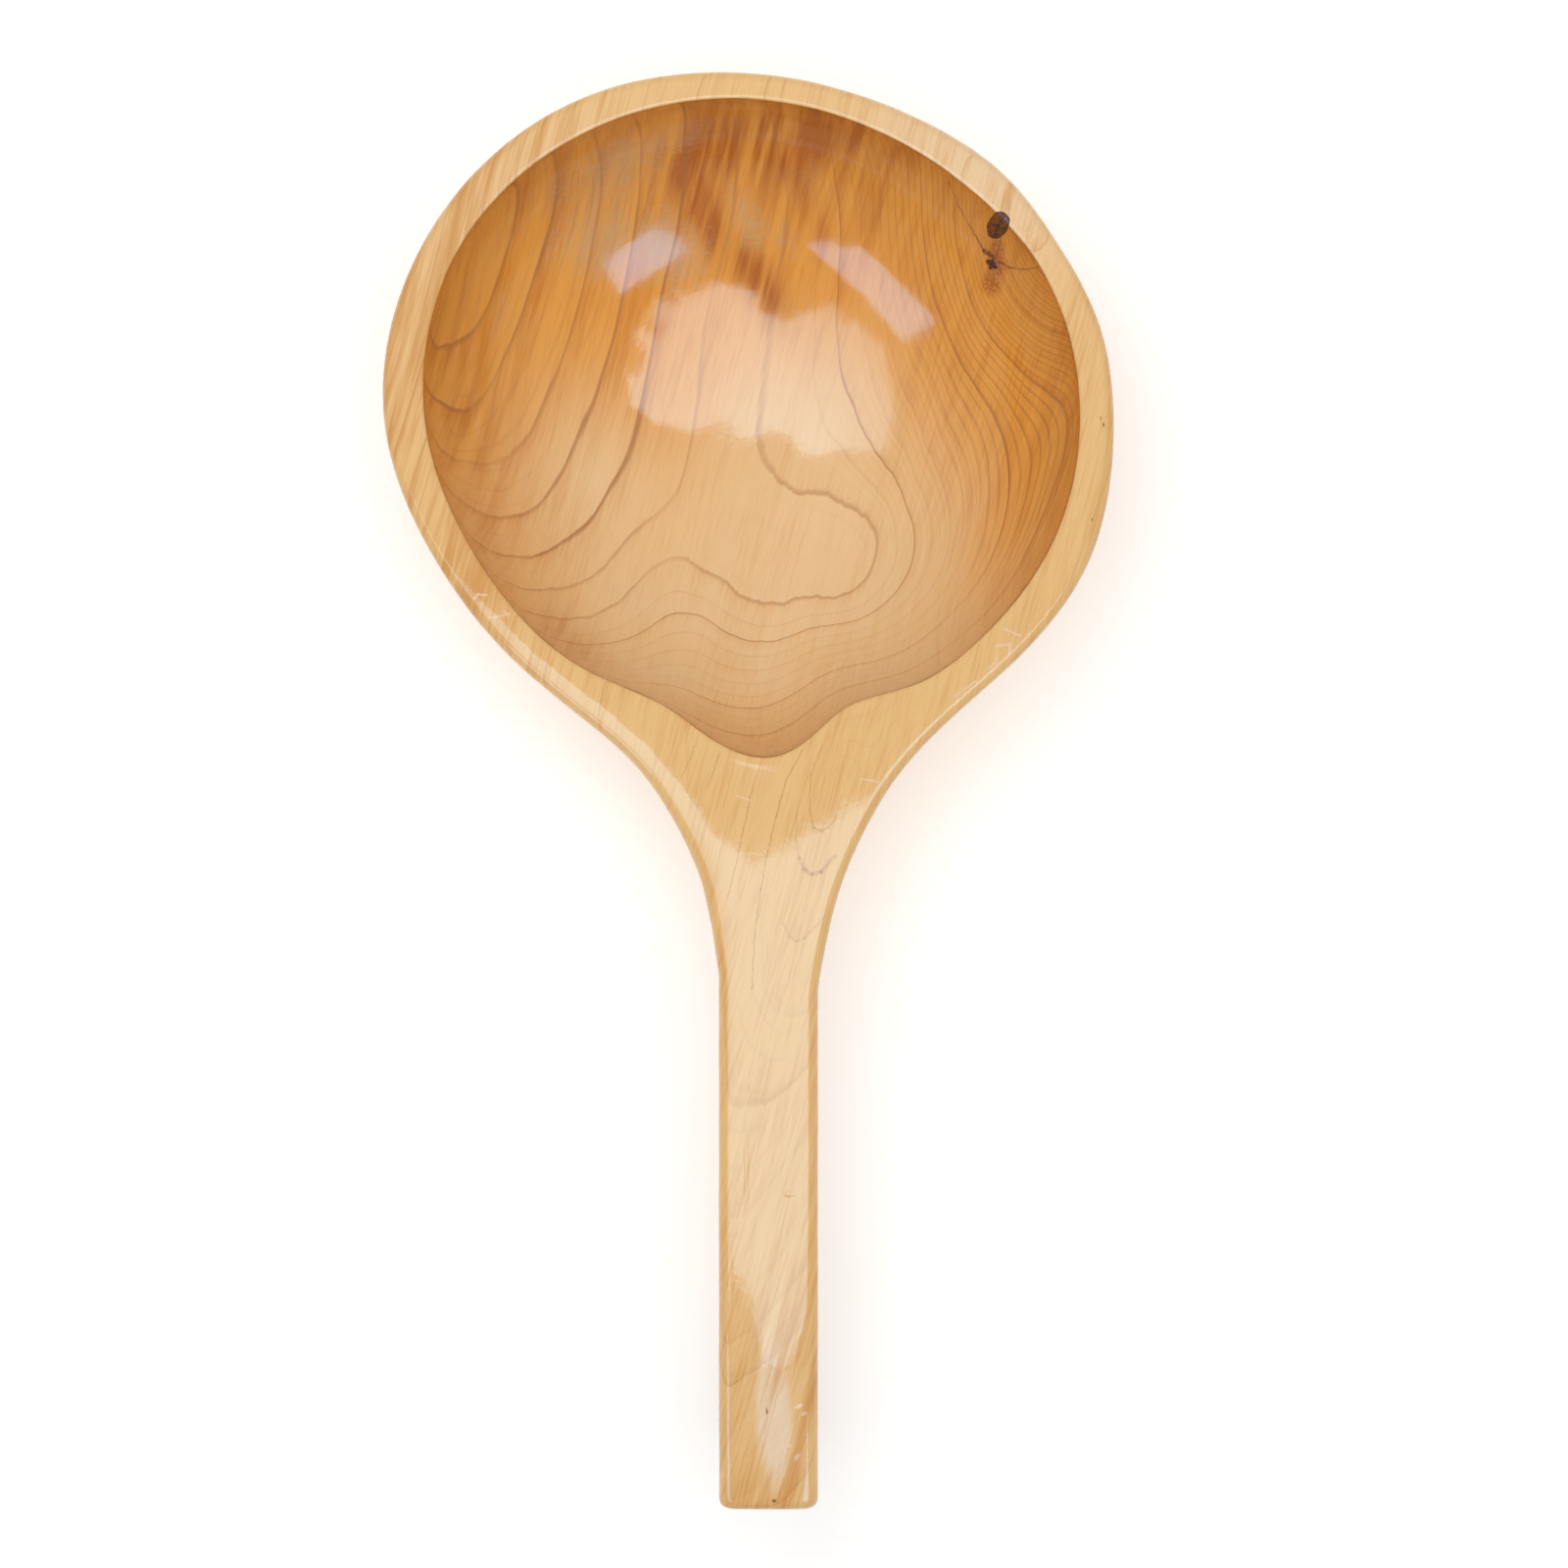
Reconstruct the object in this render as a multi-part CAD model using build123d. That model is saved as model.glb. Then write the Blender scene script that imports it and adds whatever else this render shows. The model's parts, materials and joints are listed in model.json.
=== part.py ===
"""A one-piece wooden water dipper: a broad bowl, a flared neck and a straight handle.

Bowl, neck and handle are carved from one block. Two dead branch knots sit in the bowl's
wall as upright, tapered plugs of their own wood. The frame is the dipper at rest on its foot:
+Z is up, +Y runs from the handle to the bowl's front, and the origin lies on the foot's
flat face, below the middle of the bowl and on the handle's centre line.
"""

from build123d import *
import math
import os

# The bowl in plan, in millimetres. It reaches further to the left of the handle's line
# than to the right: its middle lies bowl_lean to the left of that line.
bowl_width = 193.1
bowl_lean = 5.15
bowl_front = 91.9
bowl_back = 62.2

# The bowl's hollow. The floor's lowest point lies nearer to the handle than the origin does.
hollow_depth = 55.0
floor_thickness = 10.0
floor_back = 20.0
rim_width = 9.6
notch_length = 26.4

# The neck, from the bowl's shoulders to where its flare runs out in the handle's side.
flare_length = 88.0
neck_tail = 20.0

# The handle. Its last part droops, from droop_length before its end.
handle_reach = 287.7
handle_width = 26.2
handle_thickness = 20.0
handle_end_thickness = 16.0
droop_length = 72.0
droop = 4.5

# Roundings of the carved edges.
outer_edge_round = 3.0
inner_edge_round = 0.6
grip_round = 7.5
foot_round = 2.0
end_round = 2.8

# The knots: radius where the branch's middle meets the hollow's wall, depth of the plug
# below that, radius at its buried end, and how far inside the hollow's edge it lies.
large_knot_radius = 3.0
large_knot_depth = 12.0
large_knot_end_radius = 2.6
large_knot_drop = 1.55
small_knot_radius = 1.5
small_knot_depth = 5.0
small_knot_end_radius = 0.8
small_knot_drop = 8.1

# How far a cutting form stands clear of the wood that it cuts.
overrun = 6.0

# The bowl's rim seen from above, anticlockwise from the right shoulder: across as a share
# of bowl_right or bowl_left, along as a share of bowl_front or bowl_back, and the rim's
# width there as a share of rim_width.
rim_outline_shares = (
    (0.921, -0.624, 0.96),
    (1.000, 0.000, 0.98),
    (0.966, 0.254, 0.95),
    (0.839, 0.509, 0.82),
    (0.673, 0.717, 0.98),
    (0.452, 0.861, 0.88),
    (-0.043, 1.000, 0.78),
    (-0.519, 0.912, 0.98),
    (-0.885, 0.538, 1.00),
    (-1.000, 0.000, 1.18),
    (-0.858, -0.620, 1.06),
)

# The shoulders, where the bowl's rim turns into the neck's flare.
right_shoulder_share = 0.731
left_shoulder_share = 0.677

# The flare's edge: what is left of the shoulder's overhang beyond the handle's side, on
# the left and on the right, and how far along flare_length.
flare_shares = (
    (0.676, 0.682, 0.176),
    (0.369, 0.408, 0.352),
    (0.188, 0.229, 0.530),
    (0.072, 0.108, 0.706),
    (0.020, 0.036, 0.883),
    (-0.006, 0.003, 1.000),
)

# The neck's tail narrows inside the handle: across as a share of half the handle's width,
# and along as a share of neck_tail.
tail_shares = (0.86, 0.50)

# The hollow's edge on the handle's side, anticlockwise from the left: across as a share of
# bowl_left or bowl_right, and along as a share of the hollow's reach towards the handle.
notch_outline_shares = (
    (-0.730, 0.455),
    (-0.469, 0.745),
    (-0.265, 0.853),
    (-0.112, 0.971),
    (0.018, 1.000),
    (0.130, 0.936),
    (0.212, 0.862),
    (0.414, 0.789),
    (0.612, 0.649),
    (0.833, 0.331),
)

# The outside at several heights: height as a share of the rim's, width as a share of the
# rim outline's, the neck's reach as a share of its reach at the rim, and how far the
# handle's side is filled out from the neck's flare to half an ellipse.
outside_level_shares = (
    (1.00, 1.000, 1.000, 0.00),
    (0.86, 0.985, 0.985, 0.00),
    (0.70, 0.945, 0.920, 0.06),
    (0.52, 0.870, 0.740, 0.22),
    (0.35, 0.765, 0.600, 0.42),
    (0.18, 0.640, 0.490, 0.62),
    (0.06, 0.530, 0.410, 0.78),
    (0.00, 0.470, 0.370, 0.85),
)

# Depths of the hollow's sections, as shares of hollow_depth. The last one is its floor.
hollow_depth_shares = (0.0, 0.2, 0.4, 0.6, 0.75, 0.87, 0.95, 0.99)

# Where the knots lie along the hollow's edge, as a share of its length.
large_knot_place_share = 0.109
small_knot_place_share = 0.099

# The handle starts inside the neck, this share of the flare's length from the shoulders.
handle_root_share = 0.5

bowl_left = bowl_width / 2 + bowl_lean
bowl_right = bowl_width / 2 - bowl_lean
rim_height = hollow_depth + floor_thickness
hollow_back = bowl_back + notch_length
neck_reach = bowl_back + flare_length + neck_tail
half_handle = handle_width / 2


def rim_point(across, along):
    """A point of the plan from its shares of the bowl's reach in each direction."""
    side = bowl_right if across > 0 else bowl_left
    length = bowl_front if along > 0 else bowl_back
    return Vector(across * side, along * length)


def neck_side(side, shoulder):
    """One side of the neck from its shoulder to its tail; side is 1 on the right."""
    points = [Vector(side * shoulder, -bowl_back)]
    for left_across, right_across, along in flare_shares:
        across = right_across if side > 0 else left_across
        width = half_handle + across * (shoulder - half_handle)
        points.append(Vector(side * width, -bowl_back - along * flare_length))
    across, along = tail_shares
    points.append(Vector(side * across * half_handle, -bowl_back - flare_length - along * neck_tail))
    return points


def outside_outline():
    """The bowl's and neck's outline at the rim, anticlockwise from the tail of the neck."""
    right_side = neck_side(1, right_shoulder_share * bowl_right)
    left_side = neck_side(-1, left_shoulder_share * bowl_left)
    bowl = [rim_point(across, along) for across, along, width in rim_outline_shares]
    return [Vector(0, -neck_reach)] + right_side[::-1] + bowl + left_side


def hollow_outline():
    """The hollow's edge at the rim, anticlockwise from the right."""
    points = []
    for across, along, width in rim_outline_shares[1:-1]:
        outside = rim_point(across, along)
        points.append(outside - outside.normalized() * width * rim_width)
    for across, along in notch_outline_shares:
        side = bowl_right if across > 0 else bowl_left
        points.append(Vector(across * side, -along * hollow_back))
    return points


def closed_curve(points, height):
    """A smooth closed curve through plan points at one height."""
    raised = [Vector(point.X, point.Y, height) for point in points]
    return Wire([Edge.make_spline(raised, periodic=True)])


def outside_section(height_share, width_share, reach_share, fullness_share):
    """The outside's section at one height, drawn in towards the origin.

    On the handle's side, fullness 0 gives the rim's flare and 1 half an ellipse that
    reaches from the bowl's widest place to the tail's tip.
    """
    points = []
    for point in outside_outline():
        towards_tail = max(0, -point.Y) / neck_reach
        across = point.X
        if towards_tail and across:
            widest = bowl_right if across > 0 else -bowl_left
            across += (widest * math.sqrt(1 - towards_tail**2) - across) * fullness_share
        along_share = width_share + (reach_share - width_share) * towards_tail
        points.append(Vector(across * width_share, point.Y * along_share))
    return closed_curve(points, height_share * rim_height)


def bowl_and_neck():
    """The solid bowl and neck, before hollowing, with rounded rim and foot edges."""
    sections = [outside_section(*shares) for shares in outside_level_shares]
    solid = Solid.make_loft(sections)
    top_edges = solid.faces().sort_by(Axis.Z)[-1].edges()
    solid = fillet(top_edges, outer_edge_round)
    foot_edges = solid.faces().sort_by(Axis.Z)[0].edges()
    return fillet(foot_edges, foot_round)


def handle():
    """The straight handle with its drooping end, rounded along its edges and at its end."""
    root = -bowl_back - handle_root_share * flare_length
    bend = droop_length - handle_reach
    end_top = rim_height - droop
    end_bottom = end_top - handle_end_thickness
    bend_bottom = rim_height - (handle_thickness + handle_end_thickness) / 2
    root_bottom = rim_height - handle_thickness
    profile = Face(
        Wire(
            [
                Edge.make_line((0, root, rim_height), (0, bend, rim_height)),
                Edge.make_tangent_arc((0, bend, rim_height), (0, -1, 0), (0, -handle_reach, end_top)),
                Edge.make_line((0, -handle_reach, end_top), (0, -handle_reach, end_bottom)),
                Edge.make_spline(
                    [(0, -handle_reach, end_bottom), (0, bend, bend_bottom), (0, root, root_bottom)]
                ),
                Edge.make_line((0, root, root_bottom), (0, root, rim_height)),
            ]
        )
    )
    bar = extrude(profile, amount=half_handle, dir=(1, 0, 0), both=True)
    underside = [side.edges().sort_by(Axis.Z)[0] for side in bar.faces().filter_by(Axis.X)]
    bar = fillet(underside, grip_round)
    top = [edge for side in bar.faces().filter_by(Axis.X) for edge in side.edges().sort_by(Axis.Z)[-2:]]
    bar = fillet(top, outer_edge_round)
    end_edges = bar.faces().sort_by(Axis.Y)[0].edges()
    return fillet(end_edges, end_round)


def hollow():
    """The hollow's form: an edge like the rim's, drawn in to the floor's lowest point."""
    floor_point = Vector(0, -floor_back)
    outline = hollow_outline()
    sections = [closed_curve(outline, rim_height + overrun)]
    for depth_share in hollow_depth_shares:
        share = math.sqrt(1 - depth_share**2)
        points = [floor_point + (point - floor_point) * share for point in outline]
        sections.append(closed_curve(points, rim_height - depth_share * hollow_depth))
    return Solid.make_loft(sections)


def knot_form(place_share, drop, radius, end_radius, depth):
    """A branch's upright plug, tapering downwards and standing clear of the rim.

    The branch's middle crosses the hollow's wall at a place along the hollow's edge, drop
    nearer to the bowl's middle than the edge is.
    """
    floor_point = Vector(0, -floor_back, 0)
    edge_point = closed_curve(hollow_outline(), 0) @ place_share
    outwards = (edge_point - floor_point).normalized()
    reach = (edge_point - floor_point).length
    wall_share = 1 - drop / reach
    wall_height = rim_height - hollow_depth * math.sqrt(1 - wall_share**2)
    end_point = floor_point + outwards * reach * wall_share + Vector(0, 0, wall_height - depth)
    length = rim_height + overrun - end_point.Z
    top_radius = end_radius + (radius - end_radius) * length / depth
    return Pos(*end_point) * Solid.make_cone(end_radius, top_radius, length)


os.makedirs("parts", exist_ok=True)

block = bowl_and_neck() + handle() - hollow()
inner_edge = block.faces().filter_by(Plane.XY).sort_by(Axis.Z)[-1].inner_wires()[0].edges()
block = fillet(inner_edge, inner_edge_round)

large_knot_form = knot_form(
    large_knot_place_share, large_knot_drop, large_knot_radius, large_knot_end_radius, large_knot_depth
)
small_knot_form = knot_form(
    small_knot_place_share, small_knot_drop, small_knot_radius, small_knot_end_radius, small_knot_depth
)

pieces = {
    "dipper_body": block - large_knot_form - small_knot_form,
    "large_knot": block & large_knot_form,
    "small_knot": block & small_knot_form,
}
for name, piece in pieces.items():
    piece.label = name
    export_step(piece, f"parts/{name}.step")
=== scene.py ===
"""Looks of the wooden water dipper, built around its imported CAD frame.

The dipper is one carved block under a clear lacquer: a broad bowl, a flared neck and a
handle. Its surface is one mesh of rings and stations that follow the carver's cuts. Two
branch knots sit in the bowl's wall as pieces of their own.
Plan sizes are in millimetres and become metres when a mesh is made.
"""

import json
import logging
import math
from dataclasses import dataclass, field
from enum import Enum

import bmesh
import bpy
import numpy as np
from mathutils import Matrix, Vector
from mathutils.bvhtree import BVHTree
from mathutils.kdtree import KDTree

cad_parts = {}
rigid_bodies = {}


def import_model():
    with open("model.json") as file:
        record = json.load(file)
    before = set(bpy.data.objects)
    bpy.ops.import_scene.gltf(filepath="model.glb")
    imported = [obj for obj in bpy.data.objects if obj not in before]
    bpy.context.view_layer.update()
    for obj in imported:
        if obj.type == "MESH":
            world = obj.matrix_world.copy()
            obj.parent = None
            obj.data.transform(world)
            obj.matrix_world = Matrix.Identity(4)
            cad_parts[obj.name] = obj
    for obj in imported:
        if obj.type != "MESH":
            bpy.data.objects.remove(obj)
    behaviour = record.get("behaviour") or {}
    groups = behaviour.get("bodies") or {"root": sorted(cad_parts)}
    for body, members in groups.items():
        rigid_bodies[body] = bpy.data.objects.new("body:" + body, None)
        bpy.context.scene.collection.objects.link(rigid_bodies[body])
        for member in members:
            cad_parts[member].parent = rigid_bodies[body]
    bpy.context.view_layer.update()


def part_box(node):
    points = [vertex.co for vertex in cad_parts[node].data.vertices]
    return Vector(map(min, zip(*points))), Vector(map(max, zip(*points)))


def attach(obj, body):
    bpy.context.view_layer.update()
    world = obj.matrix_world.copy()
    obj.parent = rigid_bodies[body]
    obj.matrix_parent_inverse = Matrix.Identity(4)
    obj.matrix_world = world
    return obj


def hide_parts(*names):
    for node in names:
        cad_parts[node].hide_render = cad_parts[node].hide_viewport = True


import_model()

log = logging.getLogger("dipper")

MILLIMETRE = 0.001
CURVE_STEPS = 64
NOISE_MIDDLE = 0.5
SLACK = 1e-6
TINY = 1e-9
Values = float | np.ndarray


class Slot(Enum):
    """The record's material slots."""

    BODY = "carved_wood"
    LARGE_KNOT = "large_knot_wood"
    SMALL_KNOT = "small_knot_wood"


def hermite(
    share: Values, start: Values, end: Values, start_slope: Values, end_slope: Values
) -> Values:
    """A smooth curve between two values or arrays of values.

    Args:
        share: How far along the curve, from 0 to 1.
        start: The value at the curve's start.
        end: The value at its end.
        start_slope: The slope at its start, over its whole length.
        end_slope: The slope at its end, over its whole length.

    Returns:
        The curve's value there.
    """
    return (
        (2 * share**3 - 3 * share**2 + 1) * start
        + (share**3 - 2 * share**2 + share) * start_slope
        + (3 * share**2 - 2 * share**3) * end
        + (share**3 - share**2) * end_slope
    )


def resample(points: np.ndarray, shares: np.ndarray) -> np.ndarray:
    """Points at given shares of the length of a line of points."""
    steps = np.linalg.norm(np.diff(points, axis=0), axis=1)
    travelled = np.concatenate([[0], np.cumsum(steps)])
    wanted = travelled[-1] * shares
    return np.column_stack([np.interp(wanted, travelled, column) for column in points.T])


def closed_curve(points: np.ndarray, count: int) -> np.ndarray:
    """Samples a smooth closed curve through plan points, evenly by its length.

    Args:
        points: The plan points, one row each, in order round the curve.
        count: How many samples to take.

    Returns:
        The samples, starting at the first point.
    """
    ahead = np.roll(points, -1, 0)
    behind = np.roll(points, 1, 0)
    step = np.linalg.norm(ahead - points, axis=1)
    last = np.roll(step, 1)
    size = len(points)
    system = np.zeros((size, size))
    for row in range(size):
        system[row, row] = 2 / last[row] + 2 / step[row]
        system[row, row - 1] += 1 / last[row]
        system[row, (row + 1) % size] += 1 / step[row]
    pull = 3 * ((points - behind) / last[:, None] ** 2 + (ahead - points) / step[:, None] ** 2)
    slope = np.linalg.solve(system, pull)
    share = np.linspace(0, 1, CURVE_STEPS, endpoint=False)[None, :, None]
    start_slope = slope[:, None] * step[:, None, None]
    end_slope = np.roll(slope, -1, 0)[:, None] * step[:, None, None]
    dense = hermite(share, points[:, None], ahead[:, None], start_slope, end_slope).reshape(-1, 2)
    return resample(np.vstack([dense, dense[:1]]), np.linspace(0, 1, count, endpoint=False))


def smooth_step(value: np.ndarray) -> np.ndarray:
    """Eases a value from 0 to 1 and holds it outside that range."""
    held = np.clip(value, 0, 1)
    return held * held * (3 - 2 * held)


@dataclass(frozen=True)
class Ease:
    """A smooth rise from 0 to 1 that starts at a place and takes a length, in millimetres."""

    start: float
    length: float

    def at(self, place: np.ndarray) -> np.ndarray:
        """How far the rise has come at a place."""
        return smooth_step((place - self.start) / self.length)


NEAR_TOP = Ease(50.0, 12.0)


def smooth_least(first: np.ndarray, second: np.ndarray, blend: float) -> np.ndarray:
    """The lesser of two heights, with the crease between them carved round.

    Args:
        first: One height.
        second: The other height.
        blend: How far apart the two may be and still round each other off.

    Returns:
        The blended height.
    """
    overlap = np.maximum(blend - np.abs(first - second), 0) / blend
    return np.minimum(first, second) - overlap**2 * blend / 4


@dataclass
class DipperPlan:
    """The dipper's shape as the carver would draw it: plan outlines and heights.

    The rows of outside_levels hold the height, width, reach and fullness of the outside,
    from the foot to the rim. A cut across the outside that starts at the first distance of
    a row of keel_points behind the origin ends on the keel at the second.
    """

    bowl_left: float = 101.7
    bowl_right: float = 91.4
    bowl_front: float = 91.9
    bowl_back: float = 62.2
    hollow_depth: float = 55.0
    rim_height: float = 65.0
    floor_back: float = 20.0
    rim_width: float = 9.6
    notch_length: float = 26.4
    flare_length: float = 88.0
    neck_tail: float = 20.0
    handle_reach: float = 287.7
    half_handle: float = 13.1
    handle_thickness: float = 20.0
    handle_end_thickness: float = 16.0
    droop_length: float = 72.0
    droop: float = 4.5
    top_round: float = 3.0
    inner_round: float = 0.6
    inner_slope: float = 1.7
    grip_round: float = 7.5
    end_round: float = 2.8
    foot_blend: float = 3.0
    neck_blend: float = 5.0
    edge_blend: float = 0.8
    handle_root_share: float = 0.5
    outline_samples: int = 6000
    edge_samples: int = 4000
    level_count: int = 220
    bearing_count: int = 3600
    rim_points: tuple = (
        (0.921, -0.624, 0.96), (1.000, 0.000, 0.98), (0.966, 0.254, 0.95), (0.839, 0.509, 0.82),
        (0.673, 0.717, 0.98), (0.452, 0.861, 0.88), (-0.043, 1.000, 0.78), (-0.519, 0.912, 0.98),
        (-0.885, 0.538, 1.00), (-1.000, 0.000, 1.18), (-0.858, -0.620, 1.06),
    )
    shoulders: tuple = (0.677, 0.731)
    flare_points: tuple = (
        (0.676, 0.682, 0.176), (0.369, 0.408, 0.352), (0.188, 0.229, 0.530),
        (0.072, 0.108, 0.706), (0.020, 0.036, 0.883), (-0.006, 0.003, 1.000),
    )
    tail_point: tuple = (0.86, 0.50)
    notch_points: tuple = (
        (-0.730, 0.455), (-0.469, 0.745), (-0.265, 0.853), (-0.112, 0.971), (0.018, 1.000),
        (0.130, 0.936), (0.212, 0.862), (0.414, 0.789), (0.612, 0.649), (0.833, 0.331),
    )
    outside_levels: tuple = (
        (0.00, 0.470, 0.370, 0.85), (0.06, 0.530, 0.410, 0.78), (0.18, 0.640, 0.490, 0.62),
        (0.35, 0.765, 0.600, 0.42), (0.52, 0.870, 0.740, 0.22), (0.70, 0.945, 0.920, 0.06),
        (0.86, 0.985, 0.985, 0.00), (1.00, 1.000, 1.000, 0.00),
    )
    keel_points: tuple = (
        (150.0, 150.0), (140.0, 138.0), (124.0, 118.0), (108.8, 95.6), (93.2, 64.0),
        (77.7, 24.0), (62.0, 3.0), (50.0, 0.0),
    )

    def __post_init__(self) -> None:
        """Works out the outlines once, and the outside's radius at many heights."""
        self.neck_reach = self.bowl_back + self.flare_length + self.neck_tail
        self.hollow_centre = np.array([0.0, -self.floor_back])
        self.outline = closed_curve(self.outside_points(), self.outline_samples)
        self.hollow_edge = closed_curve(self.hollow_points(), self.edge_samples)
        self.heights = np.linspace(0, self.rim_height, self.level_count)
        self.bearings = np.linspace(-math.pi, math.pi, self.bearing_count)
        levels = [self.level_radii(height / self.rim_height) for height in self.heights]
        self.radii = np.maximum.accumulate(np.array(levels), axis=0)

    def side_reach(self, across: float) -> float:
        """The bowl's reach on the side that a signed share lies on."""
        return self.bowl_right if across > 0 else self.bowl_left

    def rim_point(self, across: float, along: float) -> np.ndarray:
        """A plan point from its shares of the bowl's reach."""
        length = self.bowl_front if along > 0 else self.bowl_back
        return np.array([across * self.side_reach(across), along * length])

    def outside_points(self) -> np.ndarray:
        """The rim's and neck's outline, anticlockwise from the tail's tip."""
        sides = []
        for index, side in enumerate((-1, 1)):
            shoulder = self.shoulders[index] * self.side_reach(side)
            points = [(side * shoulder, -self.bowl_back)]
            for shares in self.flare_points:
                width = self.half_handle + shares[index] * (shoulder - self.half_handle)
                points.append((side * width, -self.bowl_back - shares[2] * self.flare_length))
            across, along = self.tail_point
            tail = -self.bowl_back - self.flare_length - along * self.neck_tail
            points.append((side * across * self.half_handle, tail))
            sides.append(points)
        bowl = [tuple(self.rim_point(across, along)) for across, along, width in self.rim_points]
        return np.array([(0.0, -self.neck_reach)] + sides[1][::-1] + bowl + sides[0])

    def hollow_points(self) -> np.ndarray:
        """The hollow's edge at the rim, anticlockwise from the right."""
        points = []
        for across, along, width in self.rim_points[1:-1]:
            outside = self.rim_point(across, along)
            points.append(outside * (1 - width * self.rim_width / np.linalg.norm(outside)))
        for across, along in self.notch_points:
            back = self.bowl_back + self.notch_length
            points.append(np.array([across * self.side_reach(across), -along * back]))
        return np.array(points)

    def level_radii(self, height_share: float) -> np.ndarray:
        """The outside's distance from the origin at one height, for every bearing.

        Args:
            height_share: The height as a share of the rim's.

        Returns:
            One radius for each of self.bearings.
        """
        levels = np.array(self.outside_levels)
        width, reach, fullness = (
            smooth_interp(height_share, levels[:, 0], levels[:, column]) for column in (1, 2, 3)
        )
        across, along = self.outline.T
        back = np.clip(-along / self.neck_reach, 0, 1)
        widest = np.where(across > 0, self.bowl_right, -self.bowl_left)
        fuller = across + (widest * np.sqrt(1 - back**2) - across) * fullness
        across = np.where((back > 0) & (np.abs(across) > TINY), fuller, across) * width
        along = along * (width + (reach - width) * back)
        bearing = np.arctan2(along, across)
        order = np.argsort(bearing)
        return np.interp(
            self.bearings, bearing[order], np.hypot(across, along)[order], period=2 * math.pi
        )

    def handle_top(self, along: np.ndarray) -> np.ndarray:
        """The height of the handle's top, which droops towards its end."""
        bend = self.droop_length - self.handle_reach
        radius = (self.droop_length**2 + self.droop**2) / (2 * self.droop)
        past = np.clip(bend - along, 0, self.droop_length)
        return self.rim_height - radius + np.sqrt(radius**2 - past**2)

    def handle_underside(self, across: np.ndarray, along: np.ndarray) -> np.ndarray:
        """The height of the handle's underside, with its rounded long edges."""
        root = -self.bowl_back - self.handle_root_share * self.flare_length
        stations = np.array([-self.handle_reach, self.droop_length - self.handle_reach, root])
        end_height = self.rim_height - self.droop - self.handle_end_thickness
        bend_height = self.rim_height - (self.handle_thickness + self.handle_end_thickness) / 2
        heights = np.array([end_height, bend_height, self.rim_height - self.handle_thickness])
        curve = np.polyfit(stations, heights, 2)
        middle = np.polyval(curve, along)
        past = np.clip(np.abs(across) - (self.half_handle - self.grip_round), 0, self.grip_round)
        rounded = middle + self.grip_round - np.sqrt(self.grip_round**2 - past**2)
        inside = (np.abs(across) <= self.half_handle + SLACK) & (along < root + SLACK)
        return np.where(inside, rounded, self.rim_height + self.handle_thickness)

    def bowl_outside(self, across: np.ndarray, along: np.ndarray) -> np.ndarray:
        """The height of the bowl's and neck's outside over each plan point."""
        bearing = np.arctan2(along, across)
        place = (bearing + math.pi) / (2 * math.pi) * (len(self.bearings) - 1)
        low = np.clip(np.floor(place).astype(int), 0, len(self.bearings) - 2)
        part = place - low
        columns = self.radii[:, low] * (1 - part) + self.radii[:, low + 1] * part
        radius = np.hypot(across, along)
        above = np.clip((columns < radius).sum(0), 1, len(self.heights) - 1)
        index = np.arange(len(radius))
        inner, outer = columns[above - 1, index], columns[above, index]
        share = np.minimum((radius - inner) / np.maximum(outer - inner, TINY), 1)
        height = self.heights[above - 1] + share * (self.heights[above] - self.heights[above - 1])
        height = np.maximum(height, -3 * self.foot_blend)
        footed = -smooth_least(-height, np.zeros_like(height), self.foot_blend)
        return np.minimum(footed - self.foot_blend / 4 * np.exp(-np.abs(height)), self.rim_height)

    def underside(self, across: np.ndarray, along: np.ndarray) -> np.ndarray:
        """The height of the whole dipper's underside over each plan point."""
        bowl = self.bowl_outside(across, along)
        blended = smooth_least(bowl, self.handle_underside(across, along), self.neck_blend)
        return np.clip(blended, 0, self.rim_height)

    def edge_at(self, side: int, along: np.ndarray) -> np.ndarray:
        """How far the neck or handle reaches to one side, for places behind the bowl."""
        half = len(self.outline) // 2
        points = self.outline[:half] if side > 0 else self.outline[half:][::-1]
        order = np.argsort(points[:, 1])
        neck = np.interp(along, points[order, 1], np.abs(points[order, 0]))
        return -smooth_least(-neck, np.full_like(neck, -self.half_handle), self.edge_blend)

    def keel_at(self, along: np.ndarray) -> np.ndarray:
        """Where on the keel line a cut across the underside ends."""
        table = np.array(self.keel_points)
        inside = -np.interp(-along, table[::-1, 0], table[::-1, 1])
        return np.where(along < -table[0, 0], along, inside)


def smooth_interp(value: float, places: np.ndarray, amounts: np.ndarray) -> float:
    """Reads a table along a smooth curve that doesn't overshoot its rows.

    Args:
        value: The place to read at.
        places: The rows' places, rising.
        amounts: The rows' amounts.

    Returns:
        The amount at that place.
    """
    width = np.diff(places)
    rise = np.diff(amounts) / width
    slope = np.zeros(len(places))
    for row in range(1, len(places) - 1):
        if rise[row - 1] * rise[row] > 0:
            slope[row] = 2 * rise[row - 1] * rise[row] / (rise[row - 1] + rise[row])
    slope[0], slope[-1] = rise[0], rise[-1]
    row = int(np.clip(np.searchsorted(places, value) - 1, 0, len(width) - 1))
    share = (value - places[row]) / width[row]
    slopes = slope[row : row + 2] * width[row]
    return float(hermite(share, amounts[row], amounts[row + 1], *slopes))


@dataclass(frozen=True)
class Swell:
    """A rounded hill in a field over the plan, longer one way than the other."""

    height: float
    across: float
    along: float
    width: float
    length: float
    turn: float = 0.0

    def over(self, across: np.ndarray, along: np.ndarray) -> np.ndarray:
        """The hill's height over plan points."""
        turn = math.radians(self.turn)
        right = (across - self.across) * math.cos(turn) + (along - self.along) * math.sin(turn)
        ahead = (along - self.along) * math.cos(turn) - (across - self.across) * math.sin(turn)
        return self.height * np.exp(-((right / self.width) ** 2) - (ahead / self.length) ** 2)


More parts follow.
